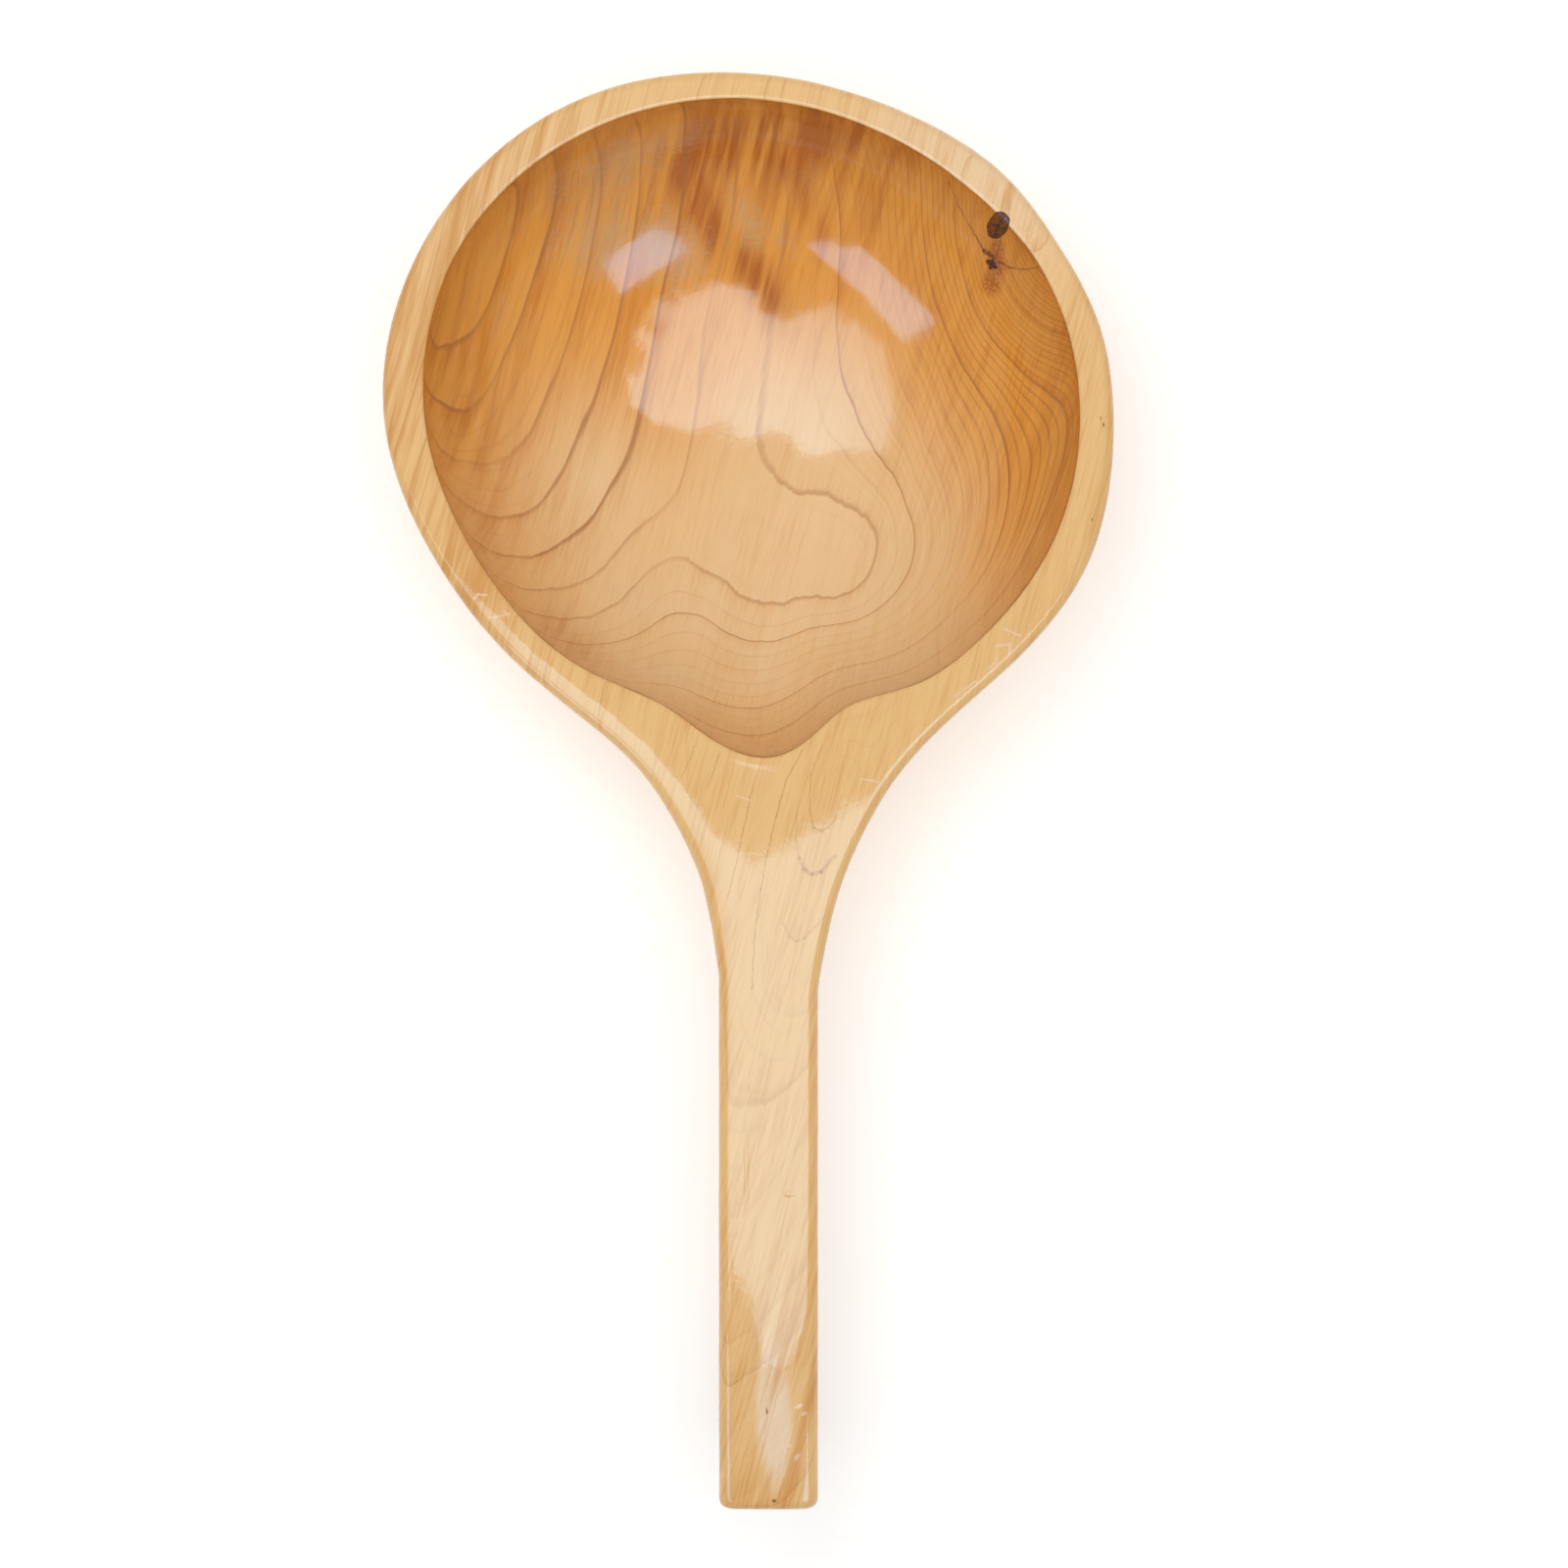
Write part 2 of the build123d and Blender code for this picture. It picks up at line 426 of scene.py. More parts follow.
@dataclass
class GrowthRings:
    """The tree's rings: each point's distance from the pith, bent by knots and cross grain.

    The pith runs slantwise over the dipper. The bowl's cut follows its own field, because
    the grain turns down into the bowl's front wall there. Sizes are in millimetres. A wave
    holds its height, how long it is across and along, and its start. A row of neck_rise
    holds how far behind the origin the pith starts to rise, and by how much for each
    millimetre.
    """

    pith_across: float = 44.0
    pith_slant: float = 0.267
    pith_height: float = 189.0
    neck_pinch: float = 0.9
    pinch_width: float = 22.0
    pinch_in: Ease = Ease(60.0, 60.0)
    pinch_out: Ease = Ease(150.0, 60.0)
    pinch_loss: float = 0.8
    neck_rise: tuple = ((70.0, 0.05), (150.0, 0.06))
    waves: tuple = ((0.56, 17.0, 41.0, 0.0), (0.42, -60.0, 23.0, 1.0), (0.28, 7.5, 31.0, 0.0))
    hollow_aside: float = 6.0
    hollow_below: float = 9.0
    hollow_offset: float = -0.9
    hollow_waviness: float = 1.3
    front: Ease = Ease(-15.0, 80.0)
    front_slant: float = 0.35
    floor_level: float = 12.0
    wall_share: float = 0.62
    front_loss: float = 0.78
    top_swells: tuple = (
        Swell(3.5, 17, -101, 5, 14, -15),
        Swell(3.5, 11, -122, 4, 16, -15),
        Swell(-6.0, 66, 58, 14, 14),
    )
    hollow_swells: tuple = (
        Swell(10.5, 22, -39, 38, 28),
        Swell(-1.6, 6, -9, 10, 15, 30),
        Swell(-4.6, -26, -44, 13, 22, 10),
        Swell(-36.0, 84, 50, 33, 34),
    )
    plateau: float = 174.4
    plateau_share: float = 0.55

    def wander(self, across: np.ndarray, along: np.ndarray) -> np.ndarray:
        """The rings' slow waviness."""
        return sum(
            height * np.sin(across / width + along / length + start)
            for height, width, length, start in self.waves
        )

    def at_top(self, points: np.ndarray) -> np.ndarray:
        """The distance from the pith on the rim, the handle and the outside."""
        across, along, height = points.T
        pinch = self.pinch_in.at(-along) * (1 - self.pinch_loss * self.pinch_out.at(-along))
        side = across - self.pith_across - self.pith_slant * along
        side = side * (1 + self.neck_pinch * pinch * np.exp(-((side / self.pinch_width) ** 2)))
        rise = sum(slope * np.maximum(-along - start, 0) for start, slope in self.neck_rise)
        found = np.hypot(side, height - self.pith_height - rise) + self.wander(across, along)
        return found + sum(swell.over(across, along) for swell in self.top_swells)

    def in_hollow(self, points: np.ndarray) -> np.ndarray:
        """The distance from the pith on the hollow's wall and floor."""
        across, along, height = points.T
        front = self.front.at(along + self.front_slant * np.maximum(across, 0))
        share = self.wall_share * (1 - self.front_loss * front)
        lift = self.floor_level + share * (height - self.floor_level)
        side = across - self.pith_across - self.hollow_aside - self.pith_slant * along
        found = np.hypot(side, lift - self.pith_height + self.hollow_below) + self.hollow_offset
        found = found + self.hollow_waviness * self.wander(across, along)
        found = found + sum(swell.over(across, along) for swell in self.hollow_swells)
        return found - self.plateau_share * np.maximum(found - self.plateau, 0)


@dataclass
class WeatheringAndSheen:
    """Where years of water and hands have stained and worn the wood, and where painted sheen and a
    paler tone lie. The hills' heights are strengths.
    """

    left_tint: float = 0.32
    tint_aside: Ease = Ease(15.0, 70.0)
    tint_ahead: Ease = Ease(-110.0, 50.0)
    bowl_stains: tuple = (
        Swell(0.85, -19, 62, 3.6, 13, 17),
        Swell(1.0, -4, 43, 5.2, 16, 36),
        Swell(0.5, -27, 72, 4, 7, 20),
        Swell(0.45, 32, 74, 9, 4, -25),
        Swell(0.8, 14, 79, 10, 4, -8),
        Swell(0.25, 24, 64, 4, 14, 24),
        Swell(0.5, 10, 62, 3, 16, 22),
        Swell(0.45, -52, 66, 16, 5, 32),
        Swell(0.35, -8, 66, 42, 18, 0),
        Swell(0.2, 40, 40, 6, 26, 24),
        Swell(0.9, 6, 76, 18, 8, 0),
        Swell(0.6, -14, 76, 7, 8, 20),
        Swell(0.2, 55, 58, 18, 9, -42),
        Swell(0.35, -80, 8, 12, 34, 10),
        Swell(0.1, 78, 12, 9, 22, 0),
        Swell(0.35, -55, -58, 12, 8, -40),
    )
    top_stains: tuple = (
        Swell(0.5, 62.6, 59, 2.2, 5, -14),
        Swell(0.5, 0, -284, 16, 9),
        Swell(0.3, 9.5, -255, 4, 26),
        Swell(0.25, 4, -240, 8, 18, 10),
        Swell(0.3, -84, -38, 12, 20, 25),
        Swell(0.22, -30, -70, 16, 8, -35),
    )
    worn: tuple = (
        Swell(0.8, -38, 71, 26, 7, 22),
        Swell(0.9, -46, 50, 16, 11, 20),
        Swell(0.8, -24, 48, 10, 12, 10),
        Swell(0.9, -7, 58, 5, 11, 20),
        Swell(0.45, 12, 68, 8, 7, -14),
        Swell(0.6, 5, 52, 5, 9, 30),
        Swell(0.5, -70, 30, 8, 14, 20),
    )
    # Painted reflection: the pale veil that the lacquer's reflection lays over the hollow's lower
    # half.
    pale_and_sheen: tuple = (
        Swell(1.0, 8, -38, 38, 28, 0),
        Swell(0.8, -46, -12, 15, 25, 12),
        Swell(0.4, 12, 0, 26, 20, 0),
        Swell(0.8, -34, -58, 34, 14, -30),
        Swell(1.0, 2, -60, 34, 12, 0),
        Swell(0.4, -66, -22, 20, 26, 0),
    )
    # The first hill is a painted highlight along the handle's end; the other two give the rim's front
    # corners a paler tone.
    top_pale_and_sheen: tuple = (
        Swell(0.5, 1.6, -254, 7, 28, 3),
        Swell(1.2, 52, 66, 34, 14, -40),
        Swell(0.5, -64, 58, 34, 14, 40),
    )

    def spread(self, hills: tuple, points: np.ndarray) -> np.ndarray:
        """The sum of some hills over the points' plan places, at most 1."""
        return np.minimum(sum(hill.over(points[:, 0], points[:, 1]) for hill in hills), 1)

    def on_top(self, points: np.ndarray) -> dict[str, np.ndarray]:
        """The strengths on the rim, the handle and the outside."""
        across, along, height = points.T
        tint = self.left_tint * self.tint_aside.at(-across) * self.tint_ahead.at(along)
        stain = (self.spread(self.top_stains, points) + tint) * NEAR_TOP.at(height)
        pale_and_sheen = self.spread(self.top_pale_and_sheen, points)
        return {"stain": stain, "worn": np.zeros_like(stain), "pale_and_sheen": pale_and_sheen}

    def in_hollow(self, points: np.ndarray) -> dict[str, np.ndarray]:
        """The strengths on the hollow's wall and floor."""
        hills = {"stain": self.bowl_stains, "worn": self.worn, "pale_and_sheen": self.pale_and_sheen}
        return {name: self.spread(some, points) for name, some in hills.items()}


@dataclass
class CarvedBody:
    """Bowl, neck and handle: one closed mesh of stations round the rim and along the handle."""

    plan: DipperPlan = field(default_factory=DipperPlan)
    rings: GrowthRings = field(default_factory=GrowthRings)
    weathering_and_sheen: WeatheringAndSheen = field(default_factory=WeatheringAndSheen)
    strip_start: float = -112.0
    bowl_start: float = -50.0
    neck_stations: int = 56
    bowl_stations: int = 270
    handle_stations: int = 100
    across_stations: int = 16
    side_rows: int = 58
    hollow_rows: int = 76
    profile_cuts: int = 200
    round_rows: int = 7
    lip_rows: int = 8
    end_rows: int = 6
    side_spacing: float = 1.15
    hollow_spacing: float = 0.92
    top_shares: tuple = (0.03, 0.12, 0.3, 0.5, 0.7, 0.88, 0.97)
    face_shares: tuple = (0.97, 0.8, 0.6, 0.4, 0.2, 0.0)
    weld: float = 0.002
    foot_level: float = 1.0
    top_level: float = 55.0
    wave_top: float = 0.03
    wave_hollow: float = 0.04
    crown_in: Ease = Ease(205.0, 60.0)
    crown_height: float = 1.1
    dip_depth: float = 1.0
    dip_start: float = -128.0
    dip_length: float = 34.0
    dip_slant: float = 0.9
    dip_middle: float = -2.0
    dip_softness: float = 3.0
    dip_out: Ease = Ease(-66.0, 60.0)
    roll_in: Ease = Ease(32.0, 25.0)
    roll_out: Ease = Ease(118.0, 30.0)
    roll_aside: Ease = Ease(2.0, 10.0)
    roll_start: float = 7.5
    roll_radius: float = 24.0
    outline_stride: int = 4

    def rays(self) -> tuple[np.ndarray, np.ndarray]:
        """The outside's edge and keel points for all stations round the bowl and neck.

        Returns:
            The edge points and the keel points, from the neck's right side round the
            bowl to its left side.
        """
        plan = self.plan
        behind = np.linspace(self.strip_start, self.bowl_start, self.neck_stations)
        right = np.column_stack([plan.edge_at(1, behind), behind])
        left = np.column_stack([-plan.edge_at(-1, behind), behind])
        front = plan.outline[plan.outline[:, 1] > self.bowl_start]
        front = np.vstack([right[-1:], front, left[-1:]])
        bowl = resample(front, np.linspace(0, 1, self.bowl_stations)[1:-1])
        edge = np.vstack([right, bowl, left[::-1]])
        keel = np.zeros_like(edge)
        keel[:, 1] = np.where(edge[:, 1] < self.bowl_start, plan.keel_at(edge[:, 1]), 0)
        return edge, keel

    def side_rays(self, side: int) -> tuple[np.ndarray, np.ndarray]:
        """The edge and keel points along one side of the handle, from the neck to its end."""
        plan = self.plan
        stop = -plan.handle_reach + plan.end_round
        behind = np.linspace(self.strip_start, stop, self.handle_stations)
        edge = np.column_stack([side * plan.edge_at(side, behind), behind])
        return edge, np.column_stack([np.zeros_like(behind), plan.keel_at(behind)])

    def side_profile(self, edge: np.ndarray, keel: np.ndarray) -> np.ndarray:
        """One cut through the outside, from the top's rounding to the keel.

        Args:
            edge: The plan point on the outside's edge.
            keel: The plan point where the cut ends.

        Returns:
            Points of the cut, self.side_rows of them, each with its height.
        """
        plan = self.plan
        top = float(plan.handle_top(edge[1]))
        reach = float(np.linalg.norm(keel - edge))
        heading = (keel - edge) / reach
        distance = reach * np.linspace(0, 1, self.profile_cuts) ** 2
        across, along = (edge + np.outer(distance, heading)).T
        height = np.minimum(plan.underside(across, along), top)
        height[0] = top
        height = np.minimum.accumulate(height)
        turn = np.linspace(0, math.pi / 2, self.round_rows)
        round_height = top - plan.top_round * (1 - np.cos(turn))
        wall = np.interp(round_height, height[::-1], distance[::-1])
        rounding = np.column_stack([wall + plan.top_round * (1 - np.sin(turn)), round_height])
        below = height < top - plan.top_round
        rest = np.vstack([rounding[-1:], np.column_stack([distance[below], height[below]])])
        count = self.side_rows - self.round_rows + 1
        spaced = np.linspace(0, 1, count)[1:] ** self.side_spacing
        cut = np.vstack([rounding, resample(rest, spaced)])
        return np.column_stack([edge + np.outer(cut[:, 0], heading), cut[:, 1]])

    def outside_patch(self, edge: np.ndarray, keel: np.ndarray) -> np.ndarray:
        """The outside's points for a run of stations, one profile each."""
        return np.array([self.side_profile(*pair) for pair in zip(edge, keel)])

    def hollow_edge_at(self, towards: np.ndarray) -> np.ndarray:
        """The hollow's edge where rays from its middle to the given points cross it."""
        plan = self.plan
        edge = plan.hollow_edge - plan.hollow_centre
        bearing = np.arctan2(edge[:, 1], edge[:, 0])
        order = np.argsort(bearing)
        offset = towards - plan.hollow_centre
        wanted = np.arctan2(offset[:, 1], offset[:, 0])
        radius = np.interp(
            wanted, bearing[order], np.linalg.norm(edge, axis=1)[order], period=2 * math.pi
        )
        return plan.hollow_centre + np.column_stack([np.cos(wanted), np.sin(wanted)]) * radius[:, None]

    def hollow_patch(self, edge: np.ndarray) -> np.ndarray:
        """The hollow's wall and floor under its edge, from the inner rounding inwards."""
        plan = self.plan
        start = math.asin(plan.inner_round / plan.hollow_depth)
        share = np.linspace(0, 1, self.hollow_rows) ** self.hollow_spacing
        turn = start + (math.pi / 2 - start) * share
        offset = edge - plan.hollow_centre
        flat = plan.hollow_centre + offset[:, None] * np.cos(turn)[None, :, None]
        height = np.broadcast_to(plan.rim_height - plan.hollow_depth * np.sin(turn), flat.shape[:2])
        return np.concatenate([flat, height[..., None]], axis=2)

    def top_patch(self, edge: np.ndarray, outer: np.ndarray) -> np.ndarray:
        """The rim's flat top, from the wall's rounded inner edge to the outer rounding."""
        plan = self.plan
        away = edge - plan.hollow_centre
        away /= np.linalg.norm(away, axis=1)[:, None]
        rows = []
        for turn in np.linspace(0, math.pi / 2, self.lip_rows):
            flat = edge + away * plan.inner_slope * (1 - math.cos(turn))
            height = np.full(len(edge), plan.rim_height - plan.inner_round * (1 - math.sin(turn)))
            rows.append(np.column_stack([flat, height]))
        inner = rows[-1]
        rows += [inner + (outer - inner) * share for share in self.top_shares]
        return np.array(rows + [outer]).transpose(1, 0, 2)

    def end_patch(self, ring: np.ndarray) -> np.ndarray:
        """The handle's rounded end and its flat face, closed by ever smaller rings."""
        plan = self.plan
        middle = np.array([0, ring[:, 1].mean(), ring[:, 2].mean()])
        half = np.abs(ring - middle).max(0)
        rows = [ring]
        for turn in np.linspace(0, math.pi / 2, self.end_rows)[1:]:
            inset = plan.end_round * (1 - math.cos(turn))
            shrink = np.array([1 - inset / half[0], 1, 1 - inset / half[2]])
            moved = middle + (ring - middle) * shrink
            moved[:, 1] -= plan.end_round * math.sin(turn)
            rows.append(moved)
        offset = rows[-1] - middle
        rows += [middle + offset * [share, 1, share] for share in self.face_shares]
        return np.array(rows).transpose(1, 0, 2)

    def patches(self) -> list[tuple[np.ndarray, bool]]:
        """All surface patches, each with whether its first index closes on itself."""
        edge, keel = self.rays()
        outside = self.outside_patch(edge, keel)
        right = self.outside_patch(*self.side_rays(1))
        left = self.outside_patch(*self.side_rays(-1))
        share = np.linspace(0, 1, self.across_stations + 1)[None, :, None]
        strip = right[:, :1] * (1 - share) + left[:, :1] * share
        strip[:, :, 2] = self.plan.handle_top(strip[:, :, 1])
        strip[:, 0], strip[:, -1] = right[:, 0], left[:, 0]
        outer = np.vstack([outside[:, 0], strip[0, ::-1][1:-1]])
        hollow_edge = self.hollow_edge_at(outer[:, :2])
        ring = np.vstack([strip[-1], left[-1, 1:], right[-1, ::-1][1:-1]])
        return [
            (self.hollow_patch(hollow_edge), True),
            (self.top_patch(hollow_edge, outer), True),
            (outside, False),
            (right[:, ::-1], False),
            (left, False),
            (strip[:, ::-1], False),
            (self.end_patch(ring), True),
        ]

    def build(self) -> bpy.types.Object:
        """Joins the patches into one smooth, closed mesh."""
        shape = bmesh.new()
        growth = shape.verts.layers.float.new("growth")
        hollowed = shape.verts.layers.float.new("hollowed")
        tones = {name: shape.verts.layers.float.new(name) for name in ("stain", "worn", "pale_and_sheen")}
        for index, (points, closes) in enumerate(self.patches()):
            rows, columns = points.shape[:2]
            flat = points.reshape(-1, 3)
            distances = self.rings.at_top(flat) if index else self.rings.in_hollow(flat)
            weathered_and_sheen = self.weathering_and_sheen.on_top(flat) if index else self.weathering_and_sheen.in_hollow(flat)
            corners = [shape.verts.new(point * MILLIMETRE) for point in flat]
            for corner, distance in zip(corners, distances):
                corner[growth] = distance
                corner[hollowed] = 0.0 if index else 1.0
            for name, strengths in weathered_and_sheen.items():
                for corner, strength in zip(corners, strengths):
                    corner[tones[name]] = strength
            for row in range(rows if closes else rows - 1):
                here = row * columns
                ahead = (row + 1) % rows * columns
                for column in range(columns - 1):
                    quad = (here + column, here + column + 1, ahead + column + 1, ahead + column)
                    shape.faces.new([corners[number] for number in quad])
        bmesh.ops.remove_doubles(shape, verts=shape.verts, dist=self.weld * MILLIMETRE)
        bmesh.ops.recalc_face_normals(shape, faces=shape.faces)
        if shape.calc_volume(signed=True) < 0:
            bmesh.ops.reverse_faces(shape, faces=shape.faces)
        self.wear(shape, hollowed)
        return mesh_object(shape, "carved_body")

    def wear(self, shape: bmesh.types.BMesh, hollowed: bmesh.types.BMLayerItem) -> None:
        """Lets the surface run slightly uneven, as hand tools and the lacquer leave it.

        Args:
            shape: The merged mesh.
            hollowed: The layer that says which points lie in the hollow.
        """
        shape.normal_update()
        places = np.array([vertex.co for vertex in shape.verts]) / MILLIMETRE
        inside = np.array([vertex[hollowed] for vertex in shape.verts])
        across, along, height = places.T
        wave = self.wave_top + (self.wave_hollow - self.wave_top) * inside
        depth = np.where(height > self.foot_level, wave * self.waves(across, along, height), 0)
        sideways = across / self.plan.half_handle
        crown = self.crown_height * self.crown_in.at(-along) * sideways**2
        down = crown * (height > self.top_level) + self.sag(across, along) * NEAR_TOP.at(height)
        for vertex, out, drop in zip(shape.verts, depth, down):
            vertex.co += vertex.normal * float(out * MILLIMETRE)
            vertex.co.z -= float(drop * MILLIMETRE)

    def waves(self, across: np.ndarray, along: np.ndarray, height: np.ndarray) -> np.ndarray:
        """The height of three crossing sets of waves, each 2.6 to 13 mm to a radian.

        Args:
            across: The points' places across the dipper.
            along: The points' places along it.
            height: The points' heights.

        Returns:
            The waves' height at each point, around 0.
        """
        return (
            np.sin(across / 6.1 + 0.8 * np.sin(along / 11)) * np.sin(along / 7.3 + 1.7)
            + 0.7 * np.sin(across / 3.7 - along / 5.9 + 2.1) * np.sin(height / 9 + along / 13)
            + 0.5 * np.sin(across / 2.6 + 0.4) * np.sin(along / 3.1 + 0.9 * np.sin(across / 8))
        )

    def sag(self, across: np.ndarray, along: np.ndarray) -> np.ndarray:
        """How far the neck's top dips towards the notch and rolls off to its left edge.

        Args:
            across: The points' places across the dipper.
            along: The points' places along it.

        Returns:
            The drop at each point, in millimetres.
        """
        aside = np.hypot(across - self.dip_middle, self.dip_softness)
        start = self.dip_start + self.dip_slant * aside
        dip = smooth_step((along - start) / self.dip_length) * (1 - self.dip_out.at(along))
        outline = self.plan.outline[:: self.outline_stride]
        finder = KDTree(len(outline))
        for index, point in enumerate(outline):
            finder.insert((*point, 0), index)
        finder.balance()
        left = self.roll_in.at(-along) * self.roll_aside.at(-across) * (1 - self.roll_out.at(-along))
        roll = np.zeros_like(across)
        for index in np.flatnonzero(left):
            gap = finder.find((across[index], along[index], 0))[2]
            roll[index] = max(self.roll_start - gap, 0) ** 2 / (2 * self.roll_radius)
        return self.dip_depth * dip + roll * left


def mesh_object(shape: bmesh.types.BMesh, name: str) -> bpy.types.Object:
    """Turns a working mesh into a smooth-shaded object of the scene.

    Args:
        shape: The working mesh, which is freed.
        name: The object's name.

    Returns:
        The new object.
    """
    mesh = bpy.data.meshes.new(name)
    shape.to_mesh(mesh)
    shape.free()
    mesh.polygons.foreach_set("use_smooth", [True] * len(mesh.polygons))
    made = bpy.data.objects.new(name, mesh)
    bpy.context.scene.collection.objects.link(made)
    return made


@dataclass
class BranchKnot:
    """The end of a dead branch in the bowl's wall: a disc of cracked dark wood.

    Its face follows the body's surface and stands a hair proud of it, as a knot does once
    the wood around it has shrunk. Lengths are in millimetres, headings in degrees. An arm of
    the outline is a heading, a width in degrees and a height as a share of the radius. A
    drying crack is a heading, a half width and a reach, the last two as shares of the
    radius. A ripple of the outline is its height, how often it comes round and its start.
    """

    name: str
    node: str
    slot: Slot
    radius: float
    arms: tuple
    cracks: tuple
    crack_depth: float
    swell: float = 0.26
    seat: float = 1.4
    spokes: int = 96
    rings: int = 22
    centre: float = 0.02
    start_height: float = 100.0
    ripples: tuple = ((0.03, 3, 40), (0.02, 7, 0))
    swell_power: int = 6
    edge_drop: float = 0.12
    edge_power: int = 12
    ring_lift: float = 0.03
    ring_turns: float = 26.0
    ring_bend: float = 1.5

    def outline(self, heading: float) -> float:
        """How far the knot reaches in one heading, as a share of its radius."""
        reach = 1.0
        for height, count, start in self.ripples:
            reach += height * math.sin(math.radians(count * heading + start))
        for arm, width, height in self.arms:
            away = (heading - arm + 180) % 360 - 180
            reach += height * math.exp(-((away / width) ** 2))
        return reach

    def crack_at(self, heading: float, reach: float) -> float:
        """How deep in a drying crack a point of the knot's face lies, from 0 to 1."""
        deepest = 0.0
        for middle, width, length in self.cracks:
            away = math.radians(heading - middle)
            side = abs(math.sin(away)) * reach if math.cos(away) > 0 else reach
            taper = width * max(0.0, 1 - reach / length)
            deepest = max(deepest, 1 - side / taper if taper > side else 0.0)
        return deepest

    def lift_at(self, share: float, turn: float, crack: float) -> float:
        """How far a point of the face stands out of the body's surface.

        Args:
            share: How far out on the face it lies, from 0 to 1.
            turn: Its heading, in radians.
            crack: How deep in a crack it lies, from 0 to 1.

        Returns:
            The height over the surface, in millimetres.
        """
        ring = math.sin(share * self.ring_turns + self.ring_bend * math.sin(2 * turn)) * (1 - share)
        crown = self.swell * (1 - share**self.swell_power) - self.edge_drop * share**self.edge_power
        return crown - self.crack_depth * crack + self.ring_lift * ring

    def build(self, body: BVHTree) -> bpy.types.Object:
        """Lays the knot's face on the body and closes it behind.

        Args:
            body: The body's surface, on which the face is laid from above.

        Returns:
            The knot.
        """
        low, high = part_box(self.node)
        middle = (Vector(low) + Vector(high)) / 2
        shape = bmesh.new()
        layers = {name: shape.verts.layers.float.new(name) for name in ("crack", "reach")}
        down = Vector((0, 0, -1))
        rows = []
        for ring in range(self.rings + 1):
            share = (ring + self.centre) / (self.rings + self.centre)
            row = []
            for spoke in range(self.spokes):
                heading = 360 * spoke / self.spokes
                turn = math.radians(heading)
                reach = self.outline(heading) * share
                aside = Vector((math.cos(turn), math.sin(turn), 0)) * reach * self.radius
                over = middle + aside * MILLIMETRE
                over.z = self.start_height * MILLIMETRE
                met, normal = body.ray_cast(over, down)[:2]
                normal = normal * math.copysign(1, normal.z)
                crack = self.crack_at(heading, reach)
                point = shape.verts.new(met + normal * self.lift_at(share, turn, crack) * MILLIMETRE)
                point[layers["crack"]] = crack
                point[layers["reach"]] = share
                row.append(point)
            rows.append(row)
        back = [shape.verts.new(point.co + down * self.seat * MILLIMETRE) for point in rows[-1]]
        base = shape.verts.new(sum((point.co for point in back), Vector()) / len(back))
        shape.faces.new(rows[0])
        for spoke in range(self.spokes):
            ahead = (spoke + 1) % self.spokes
            for inner, outer in zip(rows, rows[1:] + [back]):
                shape.faces.new([inner[spoke], outer[spoke], outer[ahead], inner[ahead]])
            shape.faces.new([base, back[ahead], back[spoke]])
        bmesh.ops.recalc_face_normals(shape, faces=shape.faces)
        return mesh_object(shape, self.name)


class Shade:
    """A number that varies over a surface: a node's socket with arithmetic on it."""

    def __init__(self, tree: bpy.types.NodeTree, socket: bpy.types.NodeSocket) -> None:
        """Holds the tree that the socket belongs to, and the socket."""
        self.tree = tree
        self.socket = socket

    def calculate(self, operation: str, *values: "Shade | float") -> "Shade":
        """Adds one Math node.

        Args:
            operation: The Math node's operation.
            values: Its inputs, in order.

        Returns:
            The node's result.
        """
        made = self.tree.nodes.new("ShaderNodeMath")
        made.operation = operation
        for place, value in enumerate(values):
            if isinstance(value, Shade):
                self.tree.links.new(value.socket, made.inputs[place])
            else:
                made.inputs[place].default_value = value
        return Shade(self.tree, made.outputs[0])

    def __add__(self, other: "Shade | float") -> "Shade":
        """The sum."""
        return self.calculate("ADD", self, other)

    __radd__ = __add__

    def __sub__(self, other: "Shade | float") -> "Shade":
        """The difference."""
        return self.calculate("SUBTRACT", self, other)

    def __rsub__(self, other: float) -> "Shade":
        """The difference, taken from a number."""
        return self.calculate("SUBTRACT", other, self)

    def __mul__(self, other: "Shade | float") -> "Shade":
        """The product."""
        return self.calculate("MULTIPLY", self, other)

    __rmul__ = __mul__

    def __truediv__(self, other: "Shade | float") -> "Shade":
        """The quotient."""
        return self.calculate("DIVIDE", self, other)

    def __pow__(self, power: float) -> "Shade":
        """The power."""
        return self.calculate("POWER", self, power)

    def part(self) -> "Shade":
        """What is left over beyond the whole number below."""
        return self.calculate("FRACT", self)

    def floor(self) -> "Shade":
        """The whole number below."""
        return self.calculate("FLOOR", self)

    def root(self) -> "Shade":
        """The square root."""
        return self.calculate("SQRT", self)

    def least(self, other: "Shade | float") -> "Shade":
        """The smaller of two numbers."""
        return self.calculate("MINIMUM", self, other)

    def between(self, low: float, high: float) -> "Shade":
        """One number where this one is 0, and another where it is 1."""
        return self * (high - low) + low


